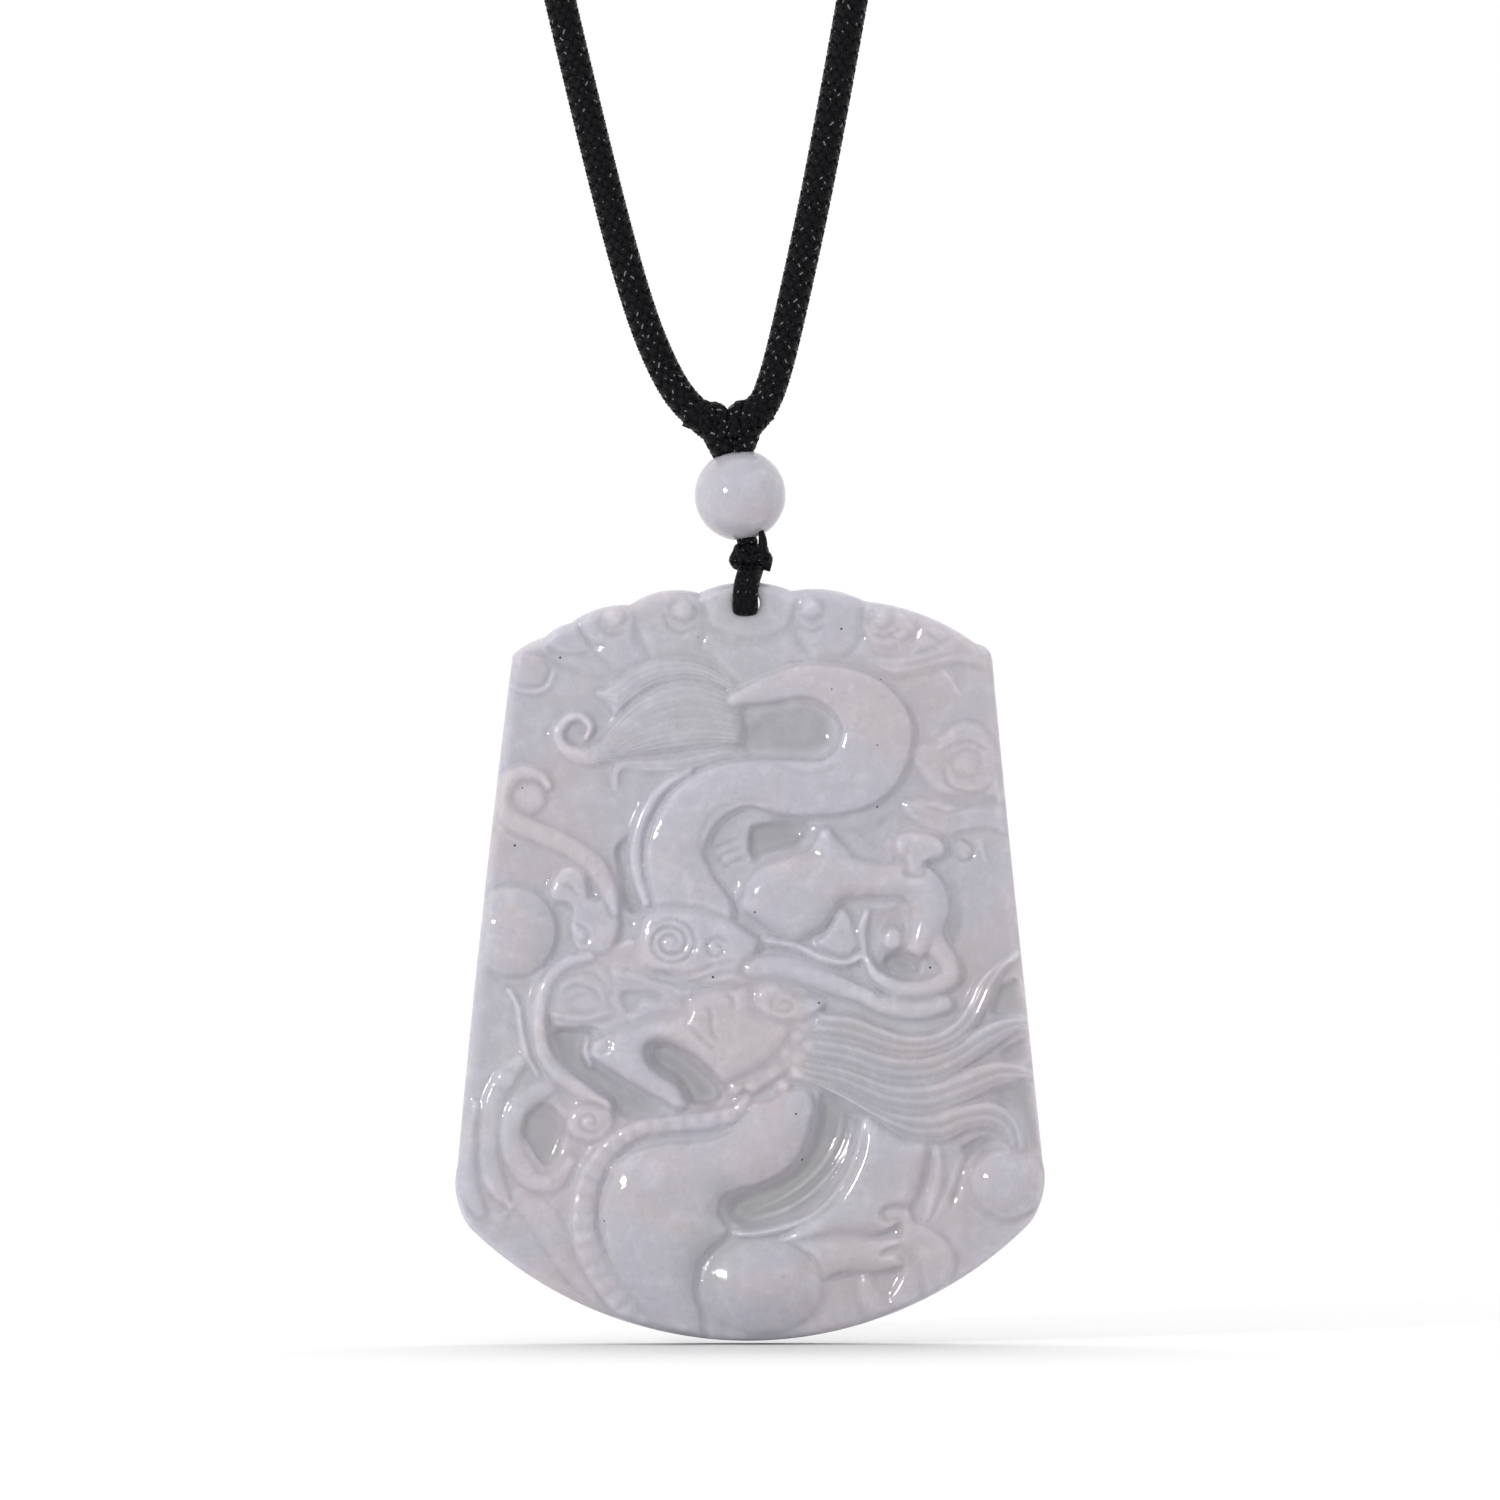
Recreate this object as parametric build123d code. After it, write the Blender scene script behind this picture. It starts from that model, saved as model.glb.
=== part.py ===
from build123d import *

import math
import os

# Carved jade plaque on a round braided cord, hung as it is round a neck.
# Millimetres. Seen from the front, +X is to the right, -Y is the front and +Z is up.
# The origin is the middle of the cord behind the neck, where the whole thing hangs.

# Plaque
PLAQUE_WIDTH = 45.9
PLAQUE_HEIGHT = 59.1
SLAB_THICKNESS = 2.6
RELIEF_DEPTH = 3.6
BACK_CHAMFER = 0.6
HOLE_DIAMETER = 2.12
HOLE_BELOW_TOP = 1.63
HOLE_TO_SIDE = -0.3

# Hanging loop and its knot
LOOP_CLEARANCE = 0.07
LOOP_BEND_RADIUS = 1.3
KNOT_WIDTH = 3.4
KNOT_HEIGHT = 2.3
KNOT_ABOVE_HOLE = 3.63
KNOT_TO_SIDE = -0.05
TAIL_DIAMETER = 0.85
SIDE_TAIL_LENGTH = 1.3
# Roots of the two cut tails in shares of the knot's width, width and height from its middle. The front
# tail's tip lies that way from the bead's middle, and the side tail points its own way.
FRONT_TAIL_ROOT = (0.32, -0.24, 0.2)
FRONT_TAIL_TIP_WAY = (0.46, -0.6, -0.655)
SIDE_TAIL_ROOT = (0.3, 0.0, -0.15)
SIDE_TAIL_WAY = (0.95, 0.0, -0.3)
# Where the loop's strands go into the knot, in shares of its width and height under and beside its
# middle, and the height where they start to lean inwards
LOOP_MOUTH_ASIDE = 0.25
LOOP_MOUTH_BELOW = 0.15
LOOP_SHOULDER_BELOW = 0.6
LOOP_SHOULDER_ROUNDING = 0.9

# Bead and the cord through it
BEAD_DIAMETER = 7.1
BEAD_THREAD_DIAMETER = 1.7
BORE_CLEARANCE = 0.1
BEAD_GAP = 0.1

# Wrap over the bead
WRAP_WIDTH = 4.5
WRAP_DEPTH = 3.6
WRAP_HEIGHT = 3.7
WRAP_FOOT_DIAMETER = 2.9
WRAP_SINK = 0.17
WRAP_TO_SIDE = -1.55
LOBE_DIAMETER = 2.7
LOBE_SPACING = 1.9
LOBE_RISE = 0.75

# Rounding of the knotted bodies, as a share of the smaller of their width and height
BUN_ROUNDING = 0.46

# Neck cord
CORD_DIAMETER = 2.6
NECK_LOOP_WIDTH = 117.0
PENDANT_DROP = 281.0
PENDANT_FORWARD = 105.0

# Places that follow from these sizes
BOSS_LEVEL = 0.30
BOSS_THICKNESS = SLAB_THICKNESS + BOSS_LEVEL * RELIEF_DEPTH
LOOP_DIAMETER = HOLE_DIAMETER - 2 * LOOP_CLEARANCE
BORE_DIAMETER = BEAD_THREAD_DIAMETER + 2 * BORE_CLEARANCE
BEAD_ABOVE_KNOT = (KNOT_HEIGHT + BEAD_DIAMETER) / 2 + BEAD_GAP
WRAP_ABOVE_KNOT = BEAD_ABOVE_KNOT + (BEAD_DIAMETER + WRAP_HEIGHT) / 2 - WRAP_SINK
HOLE = Vector(HOLE_TO_SIDE, -PENDANT_FORWARD, -PENDANT_DROP)
PLAQUE_MIDDLE = HOLE + Vector(-HOLE_TO_SIDE, BOSS_THICKNESS / 2, HOLE_BELOW_TOP - PLAQUE_HEIGHT / 2)
KNOT_MIDDLE = HOLE + Vector(KNOT_TO_SIDE - HOLE_TO_SIDE, 0, KNOT_ABOVE_HOLE)
WRAP_MIDDLE = KNOT_MIDDLE + Vector(WRAP_TO_SIDE - KNOT_TO_SIDE, 0, WRAP_ABOVE_KNOT)
BEAD_MIDDLE = KNOT_MIDDLE + (WRAP_MIDDLE - KNOT_MIDDLE) * (BEAD_ABOVE_KNOT / WRAP_ABOVE_KNOT)

# The carving is drawn on a grid laid over the plaque, so that each place is a share of its width
# and height. It has 588 squares across and 758 up, counted from the plaque's middle.
GRID_ACROSS = 588
GRID_UP = 758

# Outline, as arcs that run from the last point through bulge to end. The top arcs are the cloud
# lobes, with a notch between each two.
LEFT_SHOULDER = (-237, 306)
TOP_ARCS = [
    dict(bulge=(-222, 317), end=(-204, 324)),
    dict(bulge=(-193, 333), end=(-179, 338)),
    dict(bulge=(-152, 352), end=(-120, 356)),
    dict(bulge=(-86, 370), end=(-51, 368)),
    dict(bulge=(-2, 379), end=(42, 370)),
    dict(bulge=(80, 371), end=(114, 360)),
    dict(bulge=(178, 344), end=(226, 317)),
    dict(bulge=(238, 311), end=(241, 297)),
]
RIGHT_ARCS = [
    dict(bulge=(266, 52), end=(292, -200)),
    dict(bulge=(294, -222), end=(287, -246)),
]
BOTTOM_ARCS = [
    dict(bulge=(283, -256), end=(276, -265)),
    dict(bulge=(0, -379), end=(-279, -267)),
    dict(bulge=(-285, -258), end=(-289, -248)),
]
LEFT_ARCS = [
    dict(bulge=(-294, -227), end=(-292, -205)),
    dict(bulge=(-265, 68), end=LEFT_SHOULDER),
]

# Ridges of the carving: each follows its path, is as wide either side as its spread says, and rises
# from level to level + rise, in shares of the relief's depth.
RIDGES = [
    dict(name="left cloud arm", level=0.25, rise=0.25, path=[(-270, -120), (-262, -200), (-215, -215),
         (-190, -160), (-215, -110), (-235, -125)], spread=[18, 20, 24, 22, 16, 10]),
    dict(name="right cloud", level=0.25, rise=0.25, path=[(165, 215), (205, 225), (240, 200),
         (225, 165), (205, 190)], spread=[16, 22, 24, 20, 12]),
    dict(name="lower right cloud", level=0.25, rise=0.2, path=[(150, 115), (195, 130), (235, 105),
         (245, 60)], spread=[14, 22, 22, 14]),
    dict(name="tail lower lock", level=0.35, rise=0.25, path=[(-12, 218), (-50, 202), (-95, 195),
         (-130, 184), (-130, 168)], spread=[12, 14, 16, 13, 10]),
    dict(name="tail upper lock", level=0.35, rise=0.3, path=[(-15, 250), (-50, 272), (-92, 282),
         (-128, 272), (-146, 248)], spread=[14, 22, 24, 18, 10]),
    dict(name="tail middle lock", level=0.38, rise=0.34, path=[(-12, 236), (-62, 241), (-105, 236),
         (-142, 218), (-178, 213), (-192, 232), (-172, 246)], spread=[14, 28, 26, 19, 13, 11, 10]),
    dict(name="body", level=0.42, rise=0.44, path=[(-20, 250), (30, 272), (66, 278), (102, 269),
         (127, 227), (112, 186), (70, 173), (20, 178), (-45, 166), (-76, 124), (-76, 81), (-62, 40)],
         spread=[12, 17, 20, 29, 38, 38, 31, 28, 30, 34, 37, 36]),
    dict(name="first whisker", level=0.32, rise=0.3, path=[(-248, 142), (-215, 131), (-180, 118),
         (-155, 96), (-140, 70), (-134, 50)], spread=[10, 11, 11, 11, 12, 12]),
    dict(name="second whisker", level=0.32, rise=0.32, path=[(-180, -8), (-206, -24), (-215, -55),
         (-208, -95), (-188, -122), (-163, -141), (-150, -158)], spread=[11, 12, 13, 13, 12, 12, 14]),
    dict(name="hind thigh", level=0.42, rise=0.48, path=[(22, 62), (58, 62), (98, 80), (140, 78),
         (172, 70), (172, 38), (160, 8)], spread=[32, 45, 32, 26, 28, 30, 20]),
    dict(name="leg spur", level=0.42, rise=0.36, path=[(64, 84), (72, 124)], spread=[20, 13]),
    dict(name="leg curl", level=0.42, rise=0.32, path=[(152, 112), (172, 117), (196, 108)],
         spread=[12, 15, 13]),
    dict(name="upper claw", level=0.42, rise=0.26, path=[(186, 6), (203, -10), (186, -24), (152, -26),
         (126, -12), (116, 2)], spread=[14, 14, 12, 11, 11, 10]),
    dict(name="second claw", level=0.4, rise=0.26, path=[(198, -40), (172, -50), (142, -48),
         (118, -36)], spread=[12, 14, 13, 10]),
    dict(name="mane top", level=0.36, rise=0.28, path=[(78, -72), (120, -88), (170, -86), (215, -62),
         (248, -20), (264, 8)], spread=[14, 22, 26, 22, 14, 8]),
    dict(name="mane middle", level=0.36, rise=0.3, path=[(60, -92), (105, -116), (155, -122),
         (205, -108), (250, -78), (274, -62)], spread=[18, 24, 26, 22, 14, 8]),
    dict(name="mane bottom", level=0.36, rise=0.3, path=[(62, -112), (105, -140), (155, -152),
         (205, -150), (245, -142), (266, -162), (276, -185)], spread=[16, 22, 22, 19, 14, 12, 9]),
    dict(name="horn", level=0.46, rise=0.26, path=[(0, -5), (35, -6), (75, -20), (115, -30)],
         spread=[13, 16, 16, 14]),
    dict(name="neck and chest", level=0.4, rise=0.44, path=[(28, -142), (5, -188), (-55, -222),
         (-100, -262), (-112, -300)], spread=[48, 66, 82, 78, 60]),
    dict(name="shoulder", level=0.38, rise=0.4, path=[(118, -158), (136, -205), (112, -252)],
         spread=[34, 46, 40]),
    dict(name="foreleg", level=0.44, rise=0.3, path=[(60, -296), (108, -290), (152, -290)],
         spread=[38, 28, 26]),
    dict(name="near claw", level=0.42, rise=0.3, path=[(150, -272), (190, -282), (188, -310)],
         spread=[26, 18, 12]),
    dict(name="middle claw", level=0.42, rise=0.28, path=[(140, -290), (156, -312), (148, -334)],
         spread=[16, 14, 10]),
    dict(name="lower jaw", level=0.4, rise=0.3, path=[(-148, -88), (-122, -104), (-88, -124),
         (-62, -142)], spread=[12, 17, 17, 14]),
    dict(name="snout", level=0.46, rise=0.34, path=[(-170, 52), (-160, 15), (-140, -25), (-110, -62),
         (-60, -68), (-25, -88), (-8, -118)], spread=[26, 32, 34, 22, 19, 17, 12]),
    dict(name="brow", level=0.5, rise=0.42, path=[(-92, 26), (-60, 28), (-22, 20), (12, 2)],
         spread=[26, 34, 30, 24]),
]

# Domes of the carving: a round or oval swelling about its place, with its half sizes across and up.
DOMES = [
    dict(name="left curl of the top", level=0.2, rise=0.26, at=(-135, 338), across=24, up=22),
    dict(name="curl left of the boss", level=0.2, rise=0.28, at=(-68, 350), across=26, up=24),
    dict(name="curl right of the boss", level=0.2, rise=0.28, at=(66, 352), across=28, up=26),
    dict(name="right curl of the top", level=0.2, rise=0.26, at=(136, 342), across=26, up=22),
    dict(name="left shoulder ball", level=0.25, rise=0.26, at=(-223, 289), across=22, up=22),
    dict(name="belly curl", level=0.36, rise=0.3, at=(-20, 114), across=26, up=38),
    dict(name="left pearl", level=0.24, rise=0.5, at=(-238, 30), across=45, up=46),
    dict(name="right pearl", level=0.24, rise=0.56, at=(254, -221), across=38, up=38),
    dict(name="foreleg knee", level=0.44, rise=0.48, at=(10, -318), across=62, up=48),
    dict(name="cheek", level=0.5, rise=0.38, at=(6, -68), across=46, up=44),
    dict(name="eye socket", level=0.5, rise=0.34, at=(-74, -38), across=52, up=26),
    dict(name="ear", level=0.6, rise=0.3, at=(40, -40), across=36, up=20),
]

# Pockets cut down between the forms, to floor as a share of the relief's depth.
POCKETS = [
    dict(name="between the arms of the body", floor=0.0, path=[(0, 222), (40, 232), (70, 230)],
         spread=[12, 20, 24]),
    dict(name="behind the thigh", floor=0.0, path=[(8, 130), (45, 130), (62, 128)],
         spread=[14, 14, 12]),
    dict(name="over the thigh", floor=0.08, path=[(98, 130), (125, 120), (138, 112)],
         spread=[12, 14, 10]),
    dict(name="in the foot", floor=0.05, path=[(140, -2), (160, -2)], spread=[14, 14]),
    dict(name="mouth", floor=0.0, path=[(-88, -92), (-62, -98), (-42, -124), (-46, -132)],
         spread=[10, 15, 18, 12]),
    dict(name="under the jaw", floor=0.05, path=[(-178, -72), (-168, -98), (-140, -124),
         (-108, -146)], spread=[16, 18, 15, 10]),
    dict(name="neck groove", floor=0.0, path=[(82, -140), (80, -175), (52, -212), (8, -238)],
         spread=[15, 18, 19, 17]),
    dict(name="left cloud pocket", floor=0.08, path=[(-205, -145), (-206, -180)], spread=[24, 24]),
    dict(name="right edge by the mane", floor=0.1, path=[(262, -38), (276, -92), (284, -122)],
         spread=[10, 10, 10]),
]

# Bed of the carving, its fall to the rim, and how finely the front is faceted
BED_LEVEL = 0.26
RIM_LEVEL = 0.03
RIM_RISE = [0.0, 0.55, 0.85, 1.0]
RIM_STEPS = [0.0, 0.35, 0.8, 1.4]
FACET_LENGTH = 0.85
BOSS_REACH = 54

# Shapes of the carved forms: how round a crest is, how many times sooner than its crest a form's wall
# is up, and how far the crease between two forms is eased, in shares of the relief's depth
CROWN_FULLNESS = 0.75
RIDGE_WALL = 4
POCKET_WALL = 2.5
BOSS_WALL = 3
CREASE_EASE = 0.03

# Route of the neck cord, chosen by hand: from the wrap's left lobe up the left leg, behind the neck and
# down the right leg. Its ends are in cord diameters from the wrap's middle, to the right and up. Its
# other corners are in shares: to the right of half the loop's width, forward of PENDANT_FORWARD and
# down of the wrap's drop.
LEFT_END = [(-0.46, -0.02), (-1.13, 0.48), (-1.87, 1.44)]
CORD_CORNERS = [
    (-0.1504, 0.996, 0.9647), (-0.2051, 0.983, 0.9198), (-0.2974, 0.948, 0.8341),
    (-0.4701, 0.852, 0.6733), (-0.6667, 0.733, 0.49), (-0.8632, 0.605, 0.3142),
    (-1.0, 0.457, 0.1683), (-0.9231, 0.238, 0.0673), (-0.6325, 0.067, 0.015), (-0.2393, 0.0, 0.0),
    (0.2393, 0.0, 0.0), (0.6325, 0.067, 0.015), (0.9231, 0.238, 0.0673), (1.0, 0.457, 0.1683),
    (0.812, 0.605, 0.3142), (0.5641, 0.733, 0.49), (0.3333, 0.852, 0.6733),
    (0.1692, 0.948, 0.8341), (0.1, 0.983, 0.9198), (0.0564, 0.996, 0.9647),
]
RIGHT_END = [(1.27, 1.21), (0.81, 0.36), (0.4, -0.02)]
CORD_BEND_SHARE = 0.45


def across(squares):
    """Millimetres along X for a count of the grid's squares."""
    return squares / GRID_ACROSS * PLAQUE_WIDTH


def up(squares):
    """Millimetres along Z for a count of the grid's squares."""
    return squares / GRID_UP * PLAQUE_HEIGHT


def smooth_path(path, spread, pieces=5):
    """Points and half widths along a soft curve through the path's points."""
    rows = [(x, z, w) for (x, z), w in zip(path, spread)]
    rows = [rows[0]] + rows + [rows[-1]]
    curve = []
    for before, start, end, after in zip(rows, rows[1:], rows[2:], rows[3:]):
        for step in range(pieces):
            t = step / pieces
            curve.append(tuple(
                0.5 * (2 * b + (c - a) * t + (2 * a - 5 * b + 4 * c - d) * t**2
                       + (3 * b - a - 3 * c + d) * t**3)
                for a, b, c, d in zip(before, start, end, after)))
    curve.append(rows[-1])
    return curve


def nearness(curve, x, z):
    """How near a place is to a curve: 1 on it, 0 at the curve's half width and beyond."""
    best = 0.0
    for (x0, z0, w0), (x1, z1, w1) in zip(curve, curve[1:]):
        reach = max(w0, w1)
        if abs(x - x0) > reach + abs(x1 - x0) or abs(z - z0) > reach + abs(z1 - z0):
            continue
        run_x = x1 - x0
        run_z = z1 - z0
        along = ((x - x0) * run_x + (z - z0) * run_z) / (run_x * run_x + run_z * run_z)
        along = min(1.0, max(0.0, along))
        distance = math.hypot(x - x0 - along * run_x, z - z0 - along * run_z)
        best = max(best, 1 - distance / (w0 + (w1 - w0) * along))
    return best


def crown(near):
    """Height of a rounded form, from 0 at its border to 1 on its crest."""
    return math.sin(math.pi / 2 * min(1.0, near)) ** CROWN_FULLNESS if near > 0 else 0.0


def soft_max(low, high):
    """The higher of two heights, with the crease between them eased."""
    gap = (low - high) / CREASE_EASE
    if abs(gap) > 8:
        return max(low, high)
    return high + CREASE_EASE * math.log(1 + math.exp(gap))


RIDGE_CURVES = [(row, smooth_path(row["path"], row["spread"])) for row in RIDGES]
POCKET_CURVES = [(row, smooth_path(row["path"], row["spread"])) for row in POCKETS]


def relief(x, z):
    """Height of the carving at a place on the grid, as a share of the relief's depth."""
    height = BED_LEVEL
    for dome in DOMES:
        offset = math.hypot((x - dome["at"][0]) / dome["across"], (z - dome["at"][1]) / dome["up"])
        if offset < 1:
            height = soft_max(height, dome["level"] + dome["rise"] * crown(1 - offset))
    for ridge, curve in RIDGE_CURVES:
        near = nearness(curve, x, z)
        if near > 0:
            wall = ridge["level"] * crown(RIDGE_WALL * near)
            height = soft_max(height, wall + ridge["rise"] * crown(near))
    for pocket, curve in POCKET_CURVES:
        near = min(1.0, POCKET_WALL * nearness(curve, x, z))
        ease = near * near * (3 - 2 * near)
        height += (min(height, pocket["floor"]) - height) * ease
    hole = HOLE - PLAQUE_MIDDLE
    offset = math.hypot(across(x) - hole.X, up(z) - hole.Z) / across(BOSS_REACH)
    if offset < 1:
        height += (BOSS_LEVEL - height) * min(1.0, BOSS_WALL * (1 - offset))
    return height


def arcs(start, rows):
    """The outline's arcs from a start, as one wire in the XZ plane about the plaque's middle."""
    edges = []
    for row in rows:
        places = [Vector(across(x), 0, up(z)) for x, z in (start, row["bulge"], row["end"])]
        edges.append(Edge.make_three_point_arc(*places))
        start = row["end"]
    return Wire(edges)


def steps(length):
    """Shares of a length for the facets along it, closer together at both rims."""
    rim = [step / length for step in RIM_STEPS]
    inner = round(length / FACET_LENGTH) - 2 * len(rim) + 2
    middle = [rim[-1] + (1 - 2 * rim[-1]) * i / inner for i in range(1, inner)]
    return rim + middle + [1 - share for share in reversed(rim)]


def rim_rise(i, j, columns, rows):
    """How far the carving has risen from the rim at a facet corner."""
    inward = min(i, j, columns - 1 - i, rows - 1 - j, len(RIM_RISE) - 1)
    return RIM_RISE[inward]


def front_corners():
    """Corners of the front's facets, in rows from the bottom edge to the top edge."""
    top = arcs(LEFT_SHOULDER, TOP_ARCS)
    right = arcs(TOP_ARCS[-1]["end"], RIGHT_ARCS)
    bottom = arcs(RIGHT_ARCS[-1]["end"], BOTTOM_ARCS)
    left = arcs(BOTTOM_ARCS[-1]["end"], LEFT_ARCS)
    columns = steps(PLAQUE_WIDTH)
    rows = steps(PLAQUE_HEIGHT)
    tops = [top @ share for share in columns]
    bottoms = [bottom @ (1 - share) for share in columns]
    lefts = [left @ share for share in rows]
    rights = [right @ (1 - share) for share in rows]
    corners = []
    for j, v in enumerate(rows):
        row = []
        for i, u in enumerate(columns):
            place = bottoms[i] * (1 - v) + tops[i] * v + lefts[j] * (1 - u) + rights[j] * u
            place -= bottoms[0] * ((1 - u) * (1 - v)) + bottoms[-1] * (u * (1 - v))
            place -= tops[0] * ((1 - u) * v) + tops[-1] * (u * v)
            height = relief(place.X / PLAQUE_WIDTH * GRID_ACROSS, place.Z / PLAQUE_HEIGHT * GRID_UP)
            height = RIM_LEVEL + (height - RIM_LEVEL) * rim_rise(i, j, len(columns), len(rows))
            row.append(Vector(place.X, -SLAB_THICKNESS - RELIEF_DEPTH * height, place.Z))
        corners.append(row)
    return corners


def facet(*places):
    """A flat face with the given corners."""
    return Face(Wire.make_polygon(places))


def front_facets(corners):
    """Two facets for each square of the front, split the way that keeps them flatter."""
    faces = []
    for low, high in zip(corners, corners[1:]):
        for a, b, c, d in zip(low, low[1:], high[1:], high):
            if abs(a.Y - c.Y) < abs(b.Y - d.Y):
                faces += [facet(a, b, c), facet(a, c, d)]
            else:
                faces += [facet(a, b, d), facet(b, c, d)]
    return faces


def inset(places, distance):
    """A closed run of places moved inwards, each along the mean of its two sides' normals."""
    moved = []
    for before, place, after in zip(places[-1:] + places[:-1], places, places[1:] + places[:1]):
        along = (after - before).normalized()
        moved.append(place + Vector(along.Z, 0, -along.X) * -distance)
    return moved


def side_and_back_facets(corners):
    """The plain side wall, the chamfer round the back and the flat back."""
    rim = corners[0][:-1] + [row[-1] for row in corners[:-1]]
    rim += corners[-1][:0:-1] + [row[0] for row in corners[:0:-1]]
    edge = [Vector(place.X, -BACK_CHAMFER, place.Z) for place in rim]
    back = [Vector(place.X, 0, place.Z) for place in inset(edge, BACK_CHAMFER)]
    faces = [facet(*back)]
    for k in range(len(rim)):
        n = (k + 1) % len(rim)
        faces.append(facet(rim[k], rim[n], edge[n], edge[k]))
        faces += [facet(edge[k], edge[n], back[n]), facet(edge[k], back[n], back[k])]
    return faces


def make_plaque():
    """The jade plaque: carved front, plain back and the drilled hole."""
    corners = front_corners()
    blank = Solid(Shell(front_facets(corners) + side_and_back_facets(corners)))
    drill = Cylinder(HOLE_DIAMETER / 2, 4 * BOSS_THICKNESS, rotation=(90, 0, 0))
    return Pos(PLAQUE_MIDDLE) * (blank - Pos(HOLE - PLAQUE_MIDDLE) * drill)


def bun(width, height):
    """A round body with a well rounded edge, as wide and as tall as given."""
    puck = Cylinder(width / 2, height)
    return fillet(puck.edges().filter_by(GeomType.CIRCLE), BUN_ROUNDING * min(width, height))


def rod(start, end, diameter):
    """A round rod from one place to another."""
    path = end - start
    return Plane(origin=start, z_dir=path) * Cylinder(
        diameter / 2, path.length, align=(Align.CENTER, Align.CENTER, Align.MIN))


def knot_place(aside, forward, above):
    """A place in the small knot, in shares of its width, width and height from its middle."""
    return KNOT_MIDDLE + Vector(aside * KNOT_WIDTH, forward * KNOT_WIDTH, above * KNOT_HEIGHT)


def make_small_knot():
    """The knot over the plaque: one cut tail leans out in front of the bead, one to the side."""
    beside_bead = (BEAD_DIAMETER + TAIL_DIAMETER) / 2 + 2 * BEAD_GAP
    front_tip = BEAD_MIDDLE + Vector(*FRONT_TAIL_TIP_WAY).normalized() * beside_bead
    side_root = knot_place(*SIDE_TAIL_ROOT)
    side_tip = side_root + Vector(*SIDE_TAIL_WAY).normalized() * SIDE_TAIL_LENGTH
    knot = Pos(KNOT_MIDDLE) * bun(KNOT_WIDTH, KNOT_HEIGHT)
    knot += rod(knot_place(*FRONT_TAIL_ROOT), front_tip, TAIL_DIAMETER)
    knot += rod(side_root, side_tip, TAIL_DIAMETER)
    return knot


def make_hanging_loop(knot):
    """The loop through the hole, up both faces of the plaque and into the knot."""
    leg = BOSS_THICKNESS / 2 + LOOP_BEND_RADIUS
    shoulder = KNOT_ABOVE_HOLE - LOOP_SHOULDER_BELOW * KNOT_HEIGHT
    mouth = KNOT_ABOVE_HOLE - LOOP_MOUTH_BELOW * KNOT_HEIGHT
    aside = LOOP_MOUTH_ASIDE * KNOT_WIDTH
    turn = math.atan2(leg - aside, mouth - shoulder)
    shoulder_radius = LOOP_SHOULDER_ROUNDING * (shoulder - LOOP_BEND_RADIUS) / math.tan(turn / 2)
    radii = [shoulder_radius, LOOP_BEND_RADIUS, LOOP_BEND_RADIUS, shoulder_radius]
    with BuildLine(Plane(origin=HOLE, x_dir=(0, 1, 0), z_dir=(1, 0, 0))) as line:
        FilletPolyline((-aside, mouth), (-leg, shoulder), (-leg, 0), (leg, 0), (leg, shoulder),
                       (aside, mouth), radius=radii)
    print("hanging loop radii", [round(radius, 2) for radius in radii])
    return tube(line.wires()[0], LOOP_DIAMETER) - knot


def tube(path, diameter):
    """A round tube along a path."""
    return sweep(Plane(origin=path @ 0, z_dir=path % 0) * Circle(diameter / 2), path=path)


def make_bead():
    """The round bead, drilled along the cord that carries it."""
    axis = (WRAP_MIDDLE - KNOT_MIDDLE).normalized() * BEAD_DIAMETER
    return Pos(BEAD_MIDDLE) * Sphere(BEAD_DIAMETER / 2) - rod(
        BEAD_MIDDLE - axis, BEAD_MIDDLE + axis, BORE_DIAMETER)


def make_cord_wrap():
    """The join over the bead: a body wider than deep, two lobes on top and a foot on the bead."""
    lobe = Sphere(LOBE_DIAMETER / 2)
    half = bun(WRAP_DEPTH, WRAP_HEIGHT)
    shift = (WRAP_WIDTH - WRAP_DEPTH) / 2
    body = Pos(-shift, 0, 0) * half + Pos(shift, 0, 0) * half
    body += Pos(-LOBE_SPACING / 2, 0, LOBE_RISE) * lobe
    body += Pos(LOBE_SPACING / 2, 0, LOBE_RISE) * lobe
    body += Pos(0, 0, -WRAP_HEIGHT / 4) * Cylinder(WRAP_FOOT_DIAMETER / 2, WRAP_HEIGHT / 2)
    seat = Pos(BEAD_MIDDLE) * Sphere(BEAD_DIAMETER / 2 + BEAD_GAP)
    return Pos(WRAP_MIDDLE) * body - seat


def make_bead_thread(knot, wrap):
    """The cord through the bead, from the knot's top to the wrap's foot."""
    return rod(KNOT_MIDDLE, WRAP_MIDDLE, BEAD_THREAD_DIAMETER) - knot - wrap


def cord_radii(route):
    """Radius of the arc at each corner of the route: as large as its two runs allow."""
    radii = []
    for before, corner, after in zip(route, route[1:], route[2:]):
        turn = math.radians((corner - before).get_angle(after - corner))
        shorter = min((corner - before).length, (after - corner).length)
        radii.append(CORD_BEND_SHARE * shorter / math.tan(turn / 2))
    return radii


def cord_route():
    """Corners of the neck cord's route, from the wrap's left lobe to its right one."""
    left = [WRAP_MIDDLE + Vector(side, 0, rise) * CORD_DIAMETER for side, rise in LEFT_END]
    right = [WRAP_MIDDLE + Vector(side, 0, rise) * CORD_DIAMETER for side, rise in RIGHT_END]
    half_width = NECK_LOOP_WIDTH / 2
    loop = [Vector(side * half_width, -forward * PENDANT_FORWARD, down * WRAP_MIDDLE.Z)
            for side, forward, down in CORD_CORNERS]
    return left + loop + right


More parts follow.
